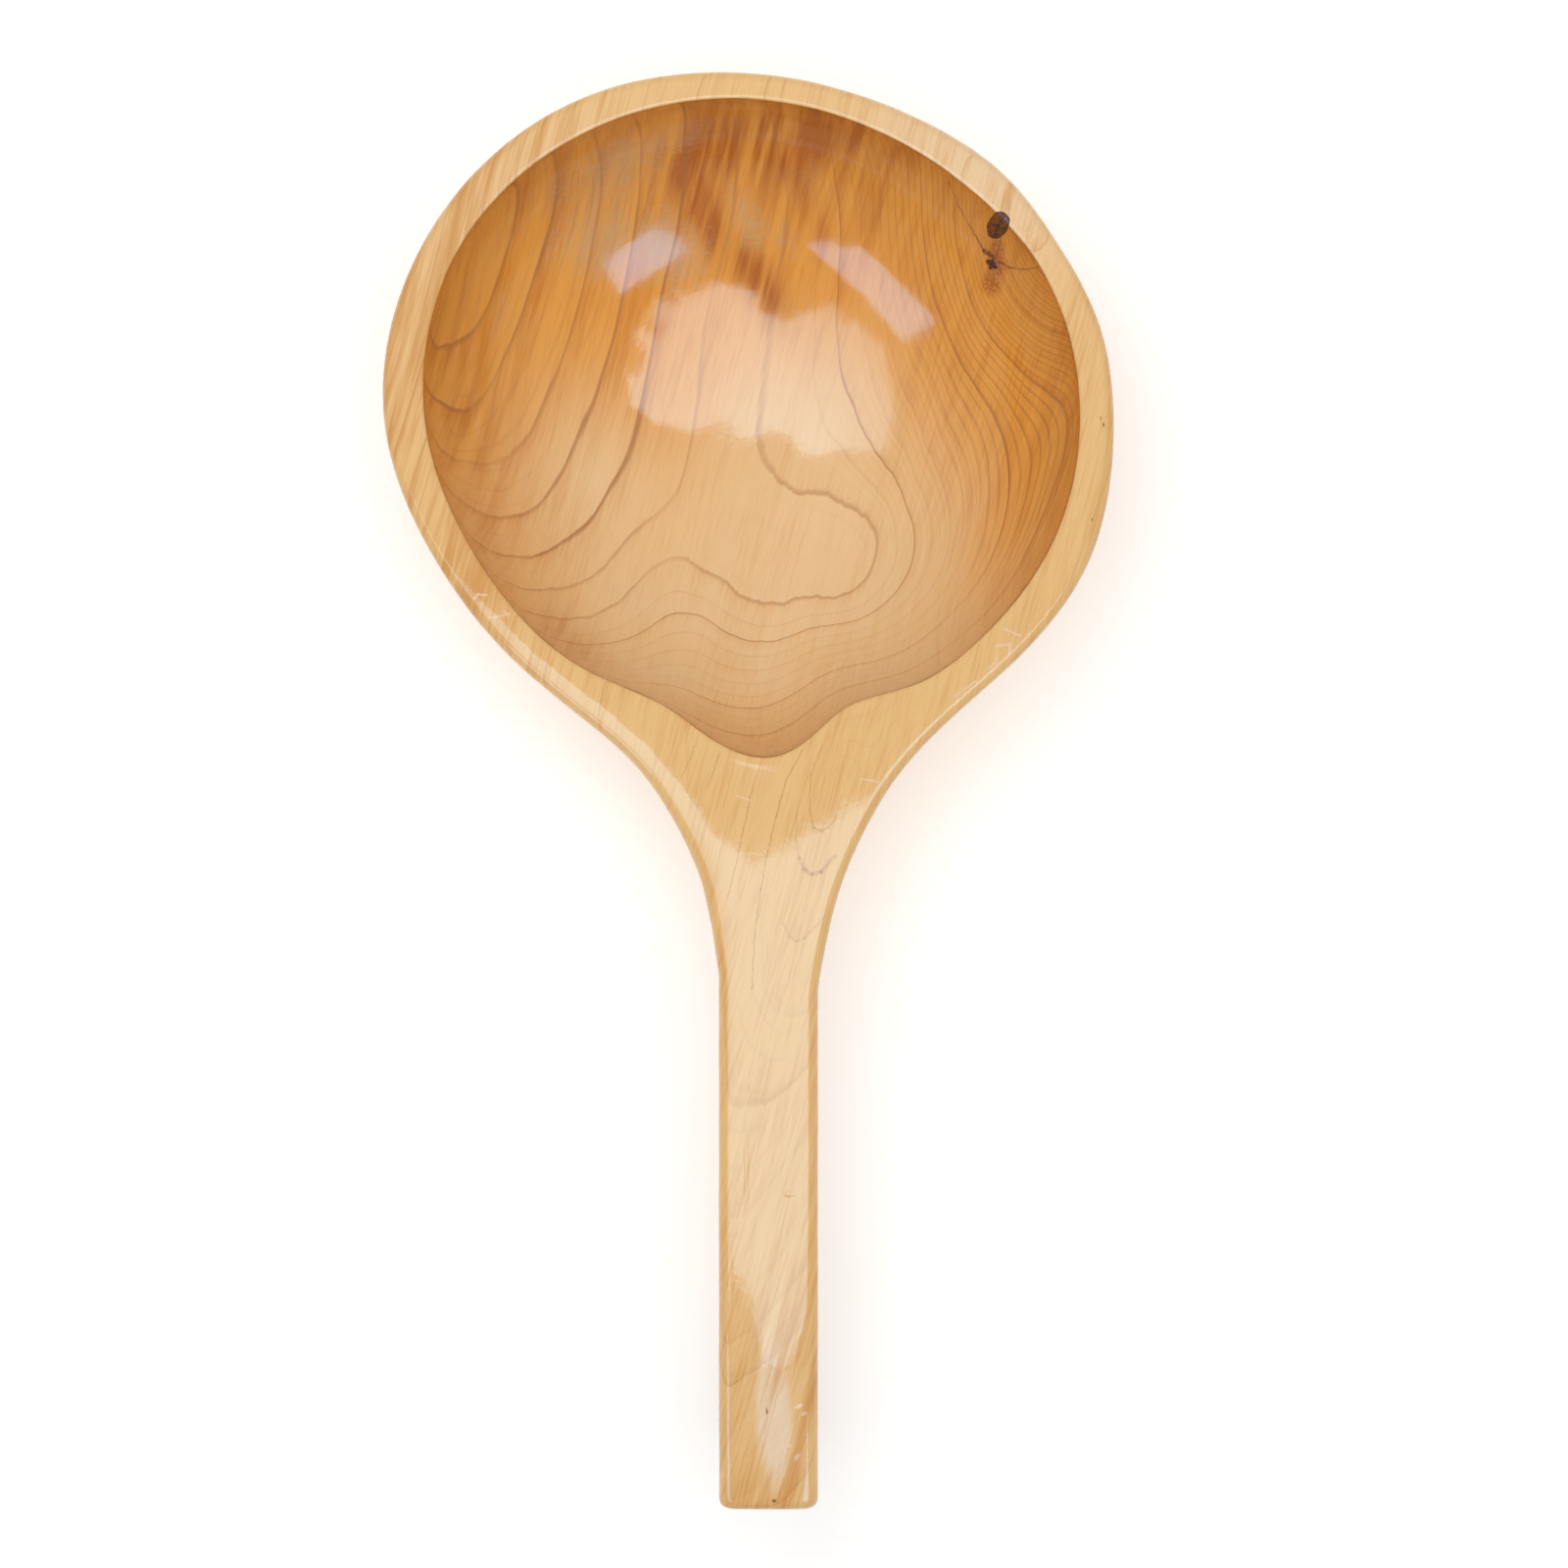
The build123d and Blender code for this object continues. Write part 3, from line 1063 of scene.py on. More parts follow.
class Workshop:
    """A material in the making: its node tree and the few tools that dress a surface."""

    def __init__(self, name: str) -> None:
        """Starts a material with one Principled shader.

        Args:
            name: The material's name.
        """
        self.material = bpy.data.materials.new(name)
        self.material.use_nodes = True
        self.tree = self.material.node_tree
        self.shader = self.tree.nodes["Principled BSDF"]

    def node(
        self, kind: str, settings: dict | None = None, inputs: dict | None = None
    ) -> bpy.types.Node:
        """Adds a node.

        Args:
            kind: The node's type, without its ShaderNode prefix.
            settings: The node's own settings, which are set first.
            inputs: Values or links of its sockets, by name or number.

        Returns:
            The node.
        """
        made = self.tree.nodes.new("ShaderNode" + kind)
        for name, value in (settings or {}).items():
            setattr(made, name, value)
        for name, value in (inputs or {}).items():
            self.feed(made.inputs[name], value)
        return made

    def feed(self, socket: bpy.types.NodeSocket, value: object) -> None:
        """Links a Shade or a socket to a socket, or sets its value."""
        if isinstance(value, Shade):
            value = value.socket
        if isinstance(value, bpy.types.NodeSocket):
            self.tree.links.new(value, socket)
        elif isinstance(value, tuple) and len(value) == 3 and socket.type == "RGBA":
            socket.default_value = (*value, 1)
        else:
            socket.default_value = value

    def shade(self, node: bpy.types.Node, output: int | str = 0) -> Shade:
        """A node's output as a number to calculate with."""
        return Shade(self.tree, node.outputs[output])

    def read(self, name: str) -> Shade:
        """A number that the mesh carries for each of its points."""
        return self.shade(self.node("Attribute", {"attribute_name": name}), "Fac")

    def place(self) -> bpy.types.NodeSocket:
        """The point's place on the object, in metres."""
        return self.node("TexCoord").outputs["Object"]

    def plan_place(self) -> list[Shade]:
        """The point's place across, along and up, in millimetres."""
        split = self.node("SeparateXYZ", {}, {0: self.place()})
        return [self.shade(split, output) * (1 / MILLIMETRE) for output in range(3)]

    def along_grain(self, scale: tuple, turn: float = 15.0) -> bpy.types.NodeSocket:
        """The point's place, turned into line with the grain and scaled.

        Args:
            scale: The scale across, along and through the plan.
            turn: The grain's slant, in degrees.

        Returns:
            The vector's socket.
        """
        turning = {"Vector": self.place(), "Rotation": (0, 0, math.radians(turn))}
        turned = self.node("Mapping", {}, turning).outputs[0]
        return self.node("Mapping", {}, {"Vector": turned, "Scale": scale}).outputs[0]

    def rise(self, value: Shade, start: float, end: float) -> Shade:
        """Eases from 0 to 1 as a value goes from start to end."""
        inputs = {"Value": value, "From Min": start, "From Max": end}
        return self.shade(self.node("MapRange", {"interpolation_type": "SMOOTHSTEP"}, inputs))

    def vector(self, operation: str, first: object, second: object) -> bpy.types.NodeSocket:
        """Calculates a vector from two others."""
        return self.node("VectorMath", {"operation": operation}, {0: first, 1: second}).outputs[0]

    def blend(self, amount: Shade, first: object, second: object) -> bpy.types.NodeSocket:
        """Mixes two colours by an amount."""
        inputs = {0: amount, 6: first, 7: second}
        return self.node("Mix", {"data_type": "RGBA"}, inputs).outputs[2]

    def emboss(self, height: Shade, distance: float) -> None:
        """Lets a height raise the surface by up to a distance in millimetres."""
        inputs = {"Height": height, "Strength": 1.0, "Distance": distance * MILLIMETRE}
        self.feed(self.shader.inputs["Normal"], self.node("Bump", {}, inputs).outputs[0])


@dataclass(frozen=True)
class Noise:
    """Smooth noise around 0.5: how fine it is, its layers and how rough they are."""

    scale: float
    detail: float = 2.0
    rough: float = 0.5

    def over(self, shop: Workshop, where: bpy.types.NodeSocket) -> Shade:
        """The noise over the surface."""
        inputs = {"Vector": where, "Scale": self.scale, "Detail": self.detail, "Roughness": self.rough}
        return shop.shade(shop.node("TexNoise", {}, inputs))

    def sway(self, shop: Workshop, where: bpy.types.NodeSocket, size: float) -> Shade:
        """The noise as a sway to both sides of 0."""
        return (self.over(shop, where) - NOISE_MIDDLE) * size


@dataclass(frozen=True)
class Band:
    """Part of a ring, as shares of its width: where it starts, is full and begins to fade."""

    start: float
    full: float
    fade: float

    def over(self, shop: Workshop, ring: Shade) -> Shade:
        """The band's strength at a share of the ring's width."""
        return shop.rise(ring, self.start, self.full) * shop.rise(ring, 1.0, self.fade)


@dataclass(frozen=True)
class Mark:
    """An oval part of the plan: its middle, half its width and length, and its turn."""

    across: float
    along: float
    width: float
    length: float
    turn: float = 0.0
    core: float = 0.25

    def reach(self, across: Shade, along: Shade) -> Shade:
        """How far from the mark's middle a place lies, 1 being the mark's edge."""
        turn = math.radians(self.turn)
        right = (across - self.across) * math.cos(turn) + (along - self.along) * math.sin(turn)
        ahead = (along - self.along) * math.cos(turn) - (across - self.across) * math.sin(turn)
        return ((right / self.width) ** 2 + (ahead / self.length) ** 2).root()

    def over(self, shop: Workshop, across: Shade, along: Shade) -> Shade:
        """1 in the mark's core, a share of its size, easing to 0 at its edge."""
        return shop.rise(self.reach(across, along), 1.0, self.core)


@dataclass(frozen=True)
class Vein:
    """A thin line between two plan points, with half its width and its strength."""

    start: tuple
    end: tuple
    width: float
    strength: float
    core: float = 0.3

    def over(self, shop: Workshop, where: bpy.types.NodeSocket) -> Shade:
        """The line's strength along its middle, easing to 0 at its sides."""
        run = (self.end[0] - self.start[0], self.end[1] - self.start[1], 0)
        square = run[0] ** 2 + run[1] ** 2
        away = shop.vector("SUBTRACT", where, (*self.start, 0))
        product = shop.node("VectorMath", {"operation": "DOT_PRODUCT"}, {0: away, 1: run})
        division = {0: product.outputs["Value"], 1: square}
        share = shop.node("Math", {"operation": "DIVIDE", "use_clamp": True}, division)
        beside = shop.node("VectorMath", {"operation": "SCALE"}, {0: run, "Scale": share.outputs[0]})
        gap = shop.node("VectorMath", {"operation": "DISTANCE"}, {0: away, 1: beside.outputs[0]})
        distance = shop.shade(gap, "Value")
        return shop.rise(distance, self.width, self.width * self.core) * self.strength


def bent_line(points: tuple, width: float, strength: float) -> tuple:
    """A bent line's veins, one for each pair of neighbouring plan points."""
    return tuple(Vein(start, end, width, strength) for start, end in zip(points, points[1:]))


@dataclass(frozen=True)
class LacqueredWood:
    """Pale wood with amber walls in the bowl, fine dark rings, a clear lacquer and painted sheen: a
    reflection veil in the bowl, a highlight on the handle's end and glints.

    Places and widths are in millimetres. A range is where something starts and is full. A
    pair of strengths is for the top and the hollow, or for a noise's low and high places.
    """

    honey: tuple = (0.89, 0.56, 0.238)
    honey_deep: tuple = (0.73, 0.36, 0.112)
    # Paler honey for the rim's paler tone and for painted highlights on the handle.
    honey_pale: tuple = (0.93, 0.71, 0.49)
    # Painted reflection: the colour of the pale veil over the hollow's lower half.
    sheen_veil: tuple = (0.94, 0.69, 0.40)
    # The floor's wood and late wood, painted paler than the walls as a reflection veil.
    floor_veil: tuple = (0.85, 0.58, 0.30)
    floor_deep: tuple = (0.79, 0.48, 0.215)
    amber: tuple = (0.84, 0.385, 0.072)
    amber_deep: tuple = (0.62, 0.205, 0.024)
    stain: tuple = (0.44, 0.118, 0.020)
    ring_brown: tuple = (0.42, 0.165, 0.055)
    worn_grey: tuple = (0.60, 0.43, 0.25)
    vein_dark: tuple = (0.13, 0.030, 0.014)
    halo: tuple = (0.40, 0.100, 0.030)
    # The colour of the painted glints.
    glint: tuple = (0.93, 0.63, 0.44)
    fibre_scale: tuple = (1, 0.05, 0.1)
    ring_scale: tuple = (1, 0.2, 0.4)
    fuzz_scale: tuple = (0.4, 1, 1)
    fibre_noise: Noise = Noise(1500, 4, 0.6)
    streak_noise: Noise = Noise(260, 3, 0.55)
    cloud_noise: Noise = Noise(22)
    grit_noise: Noise = Noise(1300, 4, 0.7)
    fuzz_noise: Noise = Noise(1200, 5, 0.7)
    ring_noise: Noise = Noise(45)
    ragged_noise: Noise = Noise(420, 3)
    strength_noise: Noise = Noise(60)
    broken_noise: Noise = Noise(38)
    bend_noise: Noise = Noise(700, 3)
    slide_noise: Noise = Noise(640, 3)
    wide_ripple: Noise = Noise(150, 2, 0.5)
    fine_ripple: Noise = Noise(620, 3, 0.6)
    ring_step: float = 2.4
    ring_sway: float = 2.0
    ragged_sway: float = 0.35
    crowd_sway: float = 0.9
    mark_sway: float = 0.9
    minor_rings: float = 3.0
    minor_start: float = 0.37
    crowd_rings: float = 2.1
    late: Band = Band(0.30, 0.93, 0.95)
    line: Band = Band(0.86, 0.95, 0.96)
    minor: Band = Band(0.72, 0.93, 0.95)
    crowd: Band = Band(0.62, 0.92, 0.94)
    top_levels: tuple = (55.0, 58.0)
    amber_range: tuple = (0.22, 0.9)
    notch_range: tuple = (-66.0, -86.0)
    crowd_range: tuple = (34.0, 64.0)
    crowd_slant: float = 0.35
    satin_range: tuple = (-60.0, 20.0)
    kind_range: tuple = (0.3, 1.0)
    kind_strength: tuple = (0.2, 1.0)
    uneven_range: tuple = (0.25, 0.6)
    uneven_strength: tuple = (0.4, 1.0)
    broken_range: tuple = (0.42, 0.62)
    line_strength: tuple = (0.26, 0.78)
    minor_strength: tuple = (0.07, 0.16)
    crowd_strength: tuple = (0.1, 0.8)
    late_strength: tuple = (0.24, 0.36)
    fibre_strength: tuple = (1.5, 1.3)
    pale_loss: float = 0.9
    wall_sway: float = 0.4
    notch_amber: float = 0.32
    # Strengths of painted sheen: the reflection veil in the hollow, the top's paler tone with its
    # painted highlight, and the glare at the handle's end, with how far that glare's edges sway.
    hollow_veil: float = 0.3
    top_paling_and_sheen: float = 0.5
    end_glare_paling: float = 0.9
    end_glare_sway: tuple = (5.0, 12.0)
    streak_parts: tuple = (0.9, 0.4)
    streak_range: tuple = (0.4, 0.9)
    streak_strength: float = 0.36
    stain_range: tuple = (0.3, 0.7)
    stain_strength: tuple = (0.15, 1.35)
    stain_depth: float = 0.88
    rub_parts: tuple = (0.6, 0.4, 0.42)
    rub_range: tuple = (0.62, 0.95)
    worn_range: tuple = (0.05, 0.5)
    worn_depth: float = 0.5
    speckle_range: tuple = (0.25, 0.6)
    speckle_strength: tuple = (0.3, 1.0)
    mottle_range: tuple = (0.4, 0.56)
    mottle_strength: tuple = (0.3, 0.95)
    smear_strength: tuple = (0.25, 1.1)
    spot_strength: float = 0.8
    polish: float = 0.075
    satin: float = 0.10
    streak_satin: float = 0.05
    rub_satin: float = 0.05
    coat: float = 0.12
    coat_polish: float = 0.04
    relief: float = 0.06
    wide_height: float = 0.38
    fine_height: float = 0.26
    fibre_height: float = 0.06
    late_height: float = 0.04
    raised_height: float = 1.6
    veins: tuple = (
        Vein((60.2, 44.9), (57.6, 46.9), 0.85, 1.0),
        Vein((57.6, 46.9), (55.2, 50.9), 0.30, 0.75),
        Vein((55.2, 50.9), (50.7, 57.9), 0.22, 0.65),
        Vein((50.7, 57.9), (47.8, 63.6), 0.16, 0.5),
        Vein((61.2, 43.9), (64.4, 42.0), 0.40, 0.7),
        Vein((64.4, 42.0), (68.3, 40.9), 0.26, 0.65),
        Vein((68.3, 40.9), (71.0, 40.6), 0.22, 0.6),
        Vein((60.9, 45.4), (61.6, 49.3), 0.42, 0.5),
    )
    neck_lines: tuple = (
        *bent_line(((-1.6, -89.0), (-4.8, -99.3), (-7.5, -112.4), (-10.7, -125.9)), 0.24, 0.45),
        *bent_line(((9.1, -86.7), (4.8, -94.6), (2.0, -104.5), (-0.4, -114.8)), 0.24, 0.6),
        *bent_line(((-0.4, -114.8), (-2.0, -123.5), (-3.6, -135.4), (-4.3, -150.0)), 0.26, 0.45),
        *bent_line(((14.3, -85.5), (11.1, -93.4), (10.8, -102.5)), 0.26, 0.4),
        *bent_line(
            ((10.8, -102.5), (12.0, -107.2), (14.0, -108.4), (15.8, -107.2), (17.8, -104.6)), 0.4, 0.32
        ),
        *bent_line(((7.5, -102.5), (7.2, -110.5), (8.2, -115.4)), 0.22, 0.4),
        *bent_line(
            ((8.2, -115.4), (9.6, -118.5), (11.6, -119.6), (13.8, -118.9), (17.5, -114.8)), 0.8, 0.38
        ),
        *bent_line(((-12.7, -87.5), (-16.2, -97.0)), 0.2, 0.4),
        *bent_line(((-18.2, -83.0), (-23.0, -94.6)), 0.2, 0.4),
        *bent_line(
            ((14.7, -130.7), (9.5, -136.3), (7.4, -137.2), (5.6, -136.0), (4.0, -132.2)), 0.6, 0.2
        ),
    )
    # Painted highlights: thin glints of the lacquer on the rim's corners next to the neck and on the
    # neck.
    glints: tuple = (
        *bent_line(((-77.4, -47.1), (-76.4, -45.8), (-74.1, -46.1)), 0.45, 0.8),
        *bent_line(((-73.4, -52.1), (-68.3, -51.1), (-69.7, -50.3)), 0.4, 0.8),
        *bent_line(((62.0, -55.0), (66.4, -56.9)), 0.45, 0.8),
        *bent_line(((59.9, -59.4), (63.6, -59.0), (63.4, -61.5)), 0.5, 0.8),
        *bent_line(((60.3, -61.0), (59.9, -63.8), (57.8, -65.7)), 0.4, 0.8),
        *bent_line(((54.8, -68.7), (48.8, -72.9)), 0.5, 0.7),
        *bent_line(((24.6, -94.6), (28.9, -95.2)), 0.4, 0.8),
        *bent_line(((-8.3, -98.9), (-5.1, -99.9)), 0.4, 0.8),
    )
    # Where the hollow's floor is painted paler than its amber walls: a painted reflection veil.
    veiled_floor: Mark = Mark(12, -50, 88, 105)
    calm_neck: Mark = Mark(-4, -106, 40, 46)
    # A painted highlight: the narrow lengthwise glare on the handle's end.
    end_glare: Mark = Mark(1.0, -261, 5.4, 26, 3, 0.5)
    halo_marks: tuple = (
        Mark(60.8, 46.4, 2.9, 4.2, 5),
        Mark(59.8, 38.9, 3.6, 4.8, 10),
        Mark(61.0, 43.0, 4.2, 3.0, -40),
        Mark(62.4, 54.5, 2.0, 5.5, -14),
    )
    dark_marks: tuple = (
        Mark(87.3, 0.4, 0.28, 0.8, 5),
        Mark(88.1, -1.4, 0.35, 0.9, -8),
        Mark(85.2, -26.2, 0.25, 0.7, 0),
        Mark(-0.5, -261, 0.35, 1.3, 0),
        Mark(1.5, -285, 0.8, 0.7, 0),
        Mark(-83, -52, 0.5, 1.6, 30),
    )
    raised_marks: tuple = (
        Mark(-4.1, -176, 1.5, 2.8, -5),
        Mark(-5.8, -196, 0.8, 17, 0),
        Mark(5.7, -203.5, 1.9, 1.2, 0),
        Mark(8.6, -260.8, 1.9, 1.9, 0),
        Mark(6.5, -272, 2.6, 3.0, 0),
    )

    def together(self, shop: Workshop, features: tuple, *where: object) -> Shade:
        """The sum of some marks or veins over the plan."""
        shades = [feature.over(shop, *where) for feature in features]
        return sum(shades[1:], shades[0])

    def ring_lines(self, shop: Workshop, grain: "Grain") -> tuple[Shade, Shade, Shade]:
        """The rings as the surface cuts them.

        Args:
            shop: The material in the making.
            grain: What the surface's looks share.

        Returns:
            The dark late wood, how strongly each ring shows, and the lines at the rings' ends.
        """
        growth = shop.read("growth") + self.ring_noise.sway(shop, grain.ring_place, self.ring_sway)
        ragged = growth + self.ragged_noise.sway(shop, grain.fibre_place, self.ragged_sway)
        turns = ragged / self.ring_step
        kind = shop.node("TexWhiteNoise", {"noise_dimensions": "1D"}, {"W": turns.floor()})
        uneven = self.strength_noise.over(shop, grain.ring_place)
        strength = shop.rise(shop.shade(kind, "Value"), *self.kind_range).between(*self.kind_strength)
        strength = strength * shop.rise(uneven, *self.uneven_range).between(*self.uneven_strength)
        ring = turns.part()
        lines = self.line.over(shop, ring) * strength * grain.hollowed.between(*self.line_strength)
        minor = (growth * (self.minor_rings / self.ring_step) + self.minor_start).part()
        broken = shop.rise(self.broken_noise.over(shop, grain.ring_place), *self.broken_range)
        fine = self.minor.over(shop, minor) * broken * grain.hollowed.between(*self.minor_strength)
        # The fine rings fade under the painted reflection veil.
        fine = fine * (1 - grain.pale_and_sheen * self.pale_loss)
        crowd = (growth * (self.crowd_rings / self.ring_step) + uneven * self.crowd_sway).part()
        slanted = grain.across + grain.along * self.crowd_slant
        right_side = shop.rise(slanted, *self.crowd_range) * grain.hollowed
        crowded = self.crowd.over(shop, crowd) * right_side
        crowded = crowded * grain.streak.between(*self.crowd_strength)
        calm = self.calm_neck.over(shop, grain.across, grain.along) * (1 - grain.hollowed)
        return self.late.over(shop, ring), strength, (lines + fine + crowded) * (1 - calm)

    def plain_wood(self, shop: Workshop, grain: "Grain", late: Shade) -> bpy.types.NodeSocket:
        """The wood's colours without its lines and marks, with the painted reflection veil and
        highlight.

        Args:
            shop: The material in the making.
            grain: What the surface's looks share.
            late: The rings' late wood, as strong as it shows.

        Returns:
            The colour.
        """
        # Painted reflection: the walls turn amber away from the floor, which is painted paler, and the
        # veil takes amber off.
        reach = self.veiled_floor.reach(grain.across, grain.along)
        wall = shop.rise(reach + (grain.cloud - NOISE_MIDDLE) * self.wall_sway, *self.amber_range)
        wall = wall * (1 - grain.pale_and_sheen * self.pale_loss)
        wall = wall + shop.rise(grain.along, *self.notch_range) * self.notch_amber
        bowl_light = shop.blend(wall, self.floor_veil, self.amber)
        # Painted reflection veil over the hollow's lower half.
        bowl_light = shop.blend(grain.pale_and_sheen * self.hollow_veil, bowl_light, self.sheen_veil)
        bowl_dark = shop.blend(wall, self.floor_deep, self.amber_deep)
        streaked = shop.rise(grain.streak, *self.stain_range).between(*self.stain_strength)
        stained = (shop.read("stain") * streaked).least(1.0)
        # Painted highlight: a narrow glare along the handle's end, its edges swayed by noise.
        ragged_across = grain.across + (grain.streak - NOISE_MIDDLE) * self.end_glare_sway[0]
        ragged_along = grain.along + (grain.cloud - NOISE_MIDDLE) * self.end_glare_sway[1]
        glare = self.end_glare.over(shop, ragged_across, ragged_along) * grain.on_top
        # The top's paler tone, with its painted highlights, turns the honey paler.
        pale_and_sheen = (grain.pale_and_sheen * self.top_paling_and_sheen + glare * self.end_glare_paling).least(1.0)
        honey = shop.blend(pale_and_sheen, self.honey, self.honey_pale)
        light = shop.blend(grain.hollowed, honey, bowl_light)
        dark = shop.blend(grain.hollowed, self.honey_deep, bowl_dark)
        streak_part, cloud_part = self.streak_parts
        streaks = shop.rise(grain.streak * streak_part + grain.cloud * cloud_part, *self.streak_range)
        fibres = (grain.fibre - NOISE_MIDDLE) * grain.hollowed.between(*self.fibre_strength)
        tone = late * grain.hollowed.between(*self.late_strength) + streaks * self.streak_strength
        tone = tone + fibres + stained * (1 - grain.hollowed)
        wood = shop.blend(shop.rise(tone, 0.0, 1.0), light, dark)
        return shop.blend(stained * grain.hollowed * self.stain_depth, wood, self.stain)

    def worn_parts(self, shop: Workshop, grain: "Grain") -> Shade:
        """How far the lacquered surface is rubbed, in flecks."""
        worn = shop.read("worn")
        fuzz = self.fuzz_noise.over(shop, shop.along_grain(self.fuzz_scale, 0))
        fuzz_part, streak_part, worn_part = self.rub_parts
        rough = fuzz * fuzz_part + grain.streak * streak_part + worn * worn_part
        return shop.rise(rough, *self.rub_range) * shop.rise(worn, *self.worn_range)

    def with_marks(
        self, shop: Workshop, grain: "Grain", wood: bpy.types.NodeSocket, lines: Shade
    ) -> bpy.types.NodeSocket:
        """Lays the rings' lines, the single marks and the painted glints over the wood's colour.

        Args:
            shop: The material in the making.
            grain: What the surface's looks share.
            wood: The colour so far.
            lines: The strength of the rings' lines.

        Returns:
            The colour with its marks.
        """
        where = shop.node("CombineXYZ", {}, {0: grain.bent, 1: grain.slid}).outputs[0]
        speckle = shop.rise(grain.grit, *self.speckle_range).between(*self.speckle_strength)
        drawn = lines + self.together(shop, self.neck_lines, where) * speckle * grain.on_top
        mottle = shop.rise(grain.grit, *self.mottle_range).between(*self.mottle_strength)
        top_strength, hollow_strength = self.smear_strength
        smears = self.together(shop, self.halo_marks, grain.bent, grain.slid) * mottle
        smears = smears * (grain.on_top * top_strength + grain.hollowed * hollow_strength)
        spots = self.together(shop, self.dark_marks, grain.bent, grain.along) * grain.on_top
        dark = self.together(shop, self.veins, where) * speckle * grain.hollowed
        dark = dark + spots * self.spot_strength
        # Painted highlights: the glints laid into the colour.
        glints = self.together(shop, self.glints, where) * grain.on_top
        layers = (
            (drawn, 0.9, self.ring_brown),
            (smears, 0.8, self.halo),
            (dark, 0.95, self.vein_dark),
            (glints, 0.9, self.glint),
        )
        for strength, most, colour in layers:
            wood = shop.blend(strength.least(most), wood, colour)
        return wood

    def build(self) -> bpy.types.Material:
        """Makes the material."""
        shop = Workshop("lacquered_wood")
        grain = Grain(shop, self)
        late, strength, lines = self.ring_lines(shop, grain)
        rubbed = self.worn_parts(shop, grain)
        wood = self.plain_wood(shop, grain, late * strength)
        wood = shop.blend(rubbed * self.worn_depth, wood, self.worn_grey)
        shop.feed(shop.shader.inputs["Base Color"], self.with_marks(shop, grain, wood, lines))
        satin = shop.rise(grain.along, *self.satin_range) * (1 - grain.hollowed) * self.satin
        satin = satin + (grain.streak - NOISE_MIDDLE) * self.streak_satin + rubbed * self.rub_satin
        shop.feed(shop.shader.inputs["Roughness"], self.polish + satin)
        shop.feed(shop.shader.inputs["Coat Weight"], grain.hollowed * self.coat)
        shop.shader.inputs["Coat Roughness"].default_value = self.coat_polish
        raised = self.together(shop, self.raised_marks, grain.bent, grain.along) * grain.on_top
        height = self.wide_ripple.over(shop, shop.place()) * self.wide_height
        height = height + self.fine_ripple.over(shop, shop.place()) * self.fine_height
        height = height + grain.fibre * self.fibre_height + late * self.late_height
        shop.emboss(height + raised * self.raised_height, self.relief)
        return shop.material


class Grain:
    """What the looks of the lacquered wood share: places, parts of the dipper and noises."""

    def __init__(self, shop: Workshop, finish: LacqueredWood) -> None:
        """Reads the body's layers and makes the noises.

        Args:
            shop: The material in the making.
            finish: The finish that names the noises.
        """
        self.hollowed = shop.read("hollowed")
        self.pale_and_sheen = shop.read("pale_and_sheen")
        self.across, self.along, height = shop.plan_place()
        self.on_top = shop.rise(height, *finish.top_levels) * (1 - self.hollowed)
        self.fibre_place = shop.along_grain(finish.fibre_scale)
        self.ring_place = shop.along_grain(finish.ring_scale)
        self.fibre = finish.fibre_noise.over(shop, self.fibre_place)
        self.streak = finish.streak_noise.over(shop, self.fibre_place)
        self.cloud = finish.cloud_noise.over(shop, self.ring_place)
        self.grit = finish.grit_noise.over(shop, shop.place())
        self.bent = self.across + finish.bend_noise.sway(shop, shop.place(), finish.mark_sway)
        self.slid = self.along + finish.slide_noise.sway(shop, shop.place(), finish.mark_sway)


